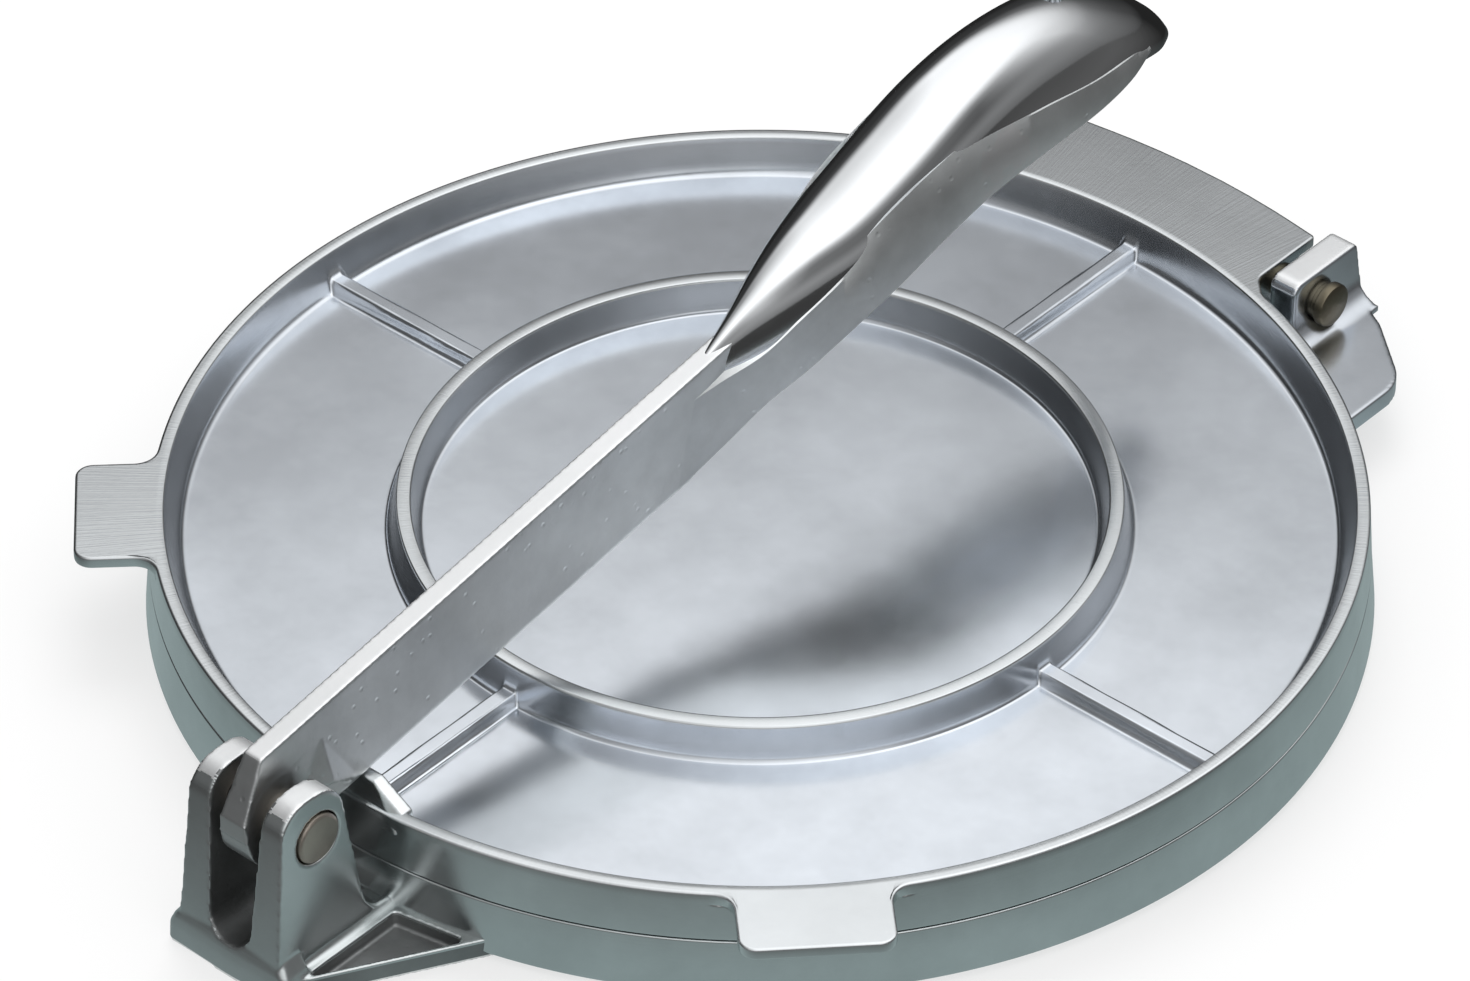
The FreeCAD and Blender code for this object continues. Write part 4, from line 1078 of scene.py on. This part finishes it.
class PRESS_OT_studio(bpy.types.Operator):
    """Set up the floor, the light tent, the lamp and the camera"""
    bl_idname = "press.studio"
    bl_label = "Studio"

    def execute(self, context):
        scene = context.scene
        studio = scene.press_studio
        scene.view_settings.view_transform = "Standard"

        sky = bpy.data.worlds.new("white_room")
        sky.use_nodes = True
        sky.node_tree.nodes["Background"].inputs["Color"].default_value = (1.0, 1.0, 1.0, 1.0)
        sky.node_tree.nodes["Background"].inputs["Strength"].default_value = studio.sky
        scene.world = sky

        material, tree = material_tree("studio_floor")
        rays = tree.nodes.new("ShaderNodeLightPath").outputs
        seen = maths(tree, "MAXIMUM", rays["Is Camera Ray"], rays["Is Glossy Ray"])
        seen = maths(tree, "MAXIMUM", seen, rays["Is Transmission Ray"])
        lifted = maths(tree, "MULTIPLY", seen, studio.whiteness)
        matt = node(tree, "ShaderNodeBsdfDiffuse", Color=[*studio.floor_colour, 1.0]).outputs[0]
        white = node(tree, "ShaderNodeEmission", Color=(1.0, 1.0, 1.0, 1.0), Strength=1.0).outputs[0]
        mixed = node(tree, "ShaderNodeMixShader", i0=lifted, i1=matt, i2=white).outputs[0]
        node(tree, "ShaderNodeOutputMaterial", Surface=mixed)
        mesh = bpy.data.meshes.new("studio_floor")
        mesh.from_pydata([(-8, -8, 0), (8, -8, 0), (8, 8, 0), (-8, 8, 0)], [], [(0, 1, 2, 3)])
        floor = new_piece("studio_floor", mesh)
        mesh.materials.append(material)

        tent(TENT_RADIUS, studio.tent_level)
        # The painted reflection of the table, a glowing card that only the metal shows
        table_card(studio.table_reflection_tone)

        lamp = bpy.data.lights.new("key_lamp", "AREA")
        lamp.shape = "DISK"
        lamp.size = 0.9
        lamp.energy = studio.key_power
        key = bpy.data.objects.new("key_lamp", lamp)
        key.location = LAMP_PLACE
        key.rotation_euler = Vector(key.location).to_track_quat("Z", "Y").to_euler()
        key.visible_glossy = False
        scene.collection.objects.link(key)

        lens = bpy.data.cameras.new("camera")
        lens.sensor_width = FILM_WIDTH
        lens.lens = FOCAL_LENGTH
        lens.clip_end = 30.0
        eye = bpy.data.objects.new("camera", lens)
        turn, rise, tilt = (math.radians(angle) for angle in VIEW_ANGLES)
        back = Vector((math.sin(turn) * math.cos(rise), -math.cos(turn) * math.cos(rise), math.sin(rise)))
        right = Vector((math.cos(turn), math.sin(turn), 0.0))
        up = back.cross(right)
        spin = Matrix((right, up, back)).transposed() @ Matrix.Rotation(-tilt, 3, "Z")
        place = Vector(VIEW_AIM) + back * VIEW_DISTANCE
        eye.matrix_world = Matrix.Translation(place) @ spin.to_4x4()
        scene.collection.objects.link(eye)
        scene.camera = eye
        return {"FINISHED"}


OPERATORS = (PRESS_OT_studio, PRESS_OT_finishes, PRESS_OT_upper_plate, PRESS_OT_base_plate, PRESS_OT_clevis,
             PRESS_OT_hinge_lugs, PRESS_OT_lever_bar, PRESS_OT_lever_handle, PRESS_OT_pins)
GROUPS = (("press_plates", PressPlates), ("press_castings", PressCastings), ("press_finish", PressFinish),
          ("press_studio", PressStudio))


class PRESS_PT_panel(bpy.types.Panel):
    """The press's sizes, finishes and steps"""
    bl_idname = "PRESS_PT_panel"
    bl_label = "Tortilla press"
    bl_space_type = "VIEW_3D"
    bl_region_type = "UI"
    bl_category = "Press"

    def draw(self, context):
        for name, group in GROUPS:
            box = self.layout.box()
            box.label(text=group.__doc__)
            for prop in group.__annotations__:
                box.prop(getattr(context.scene, name), prop)
        for operator in OPERATORS:
            self.layout.operator(operator.bl_idname)


def register():
    for name, group in GROUPS:
        bpy.utils.register_class(group)
        setattr(bpy.types.Scene, name, bpy.props.PointerProperty(type=group))
    for operator in OPERATORS:
        bpy.utils.register_class(operator)
    bpy.utils.register_class(PRESS_PT_panel)


def unregister():
    bpy.utils.unregister_class(PRESS_PT_panel)
    for operator in reversed(OPERATORS):
        bpy.utils.unregister_class(operator)
    for name, group in reversed(GROUPS):
        delattr(bpy.types.Scene, name)
        bpy.utils.unregister_class(group)


def main():
    register()
    for operator in OPERATORS:
        group, name = operator.bl_idname.split(".")
        getattr(getattr(bpy.ops, group), name)()


if __name__ == "__main__":
    main()
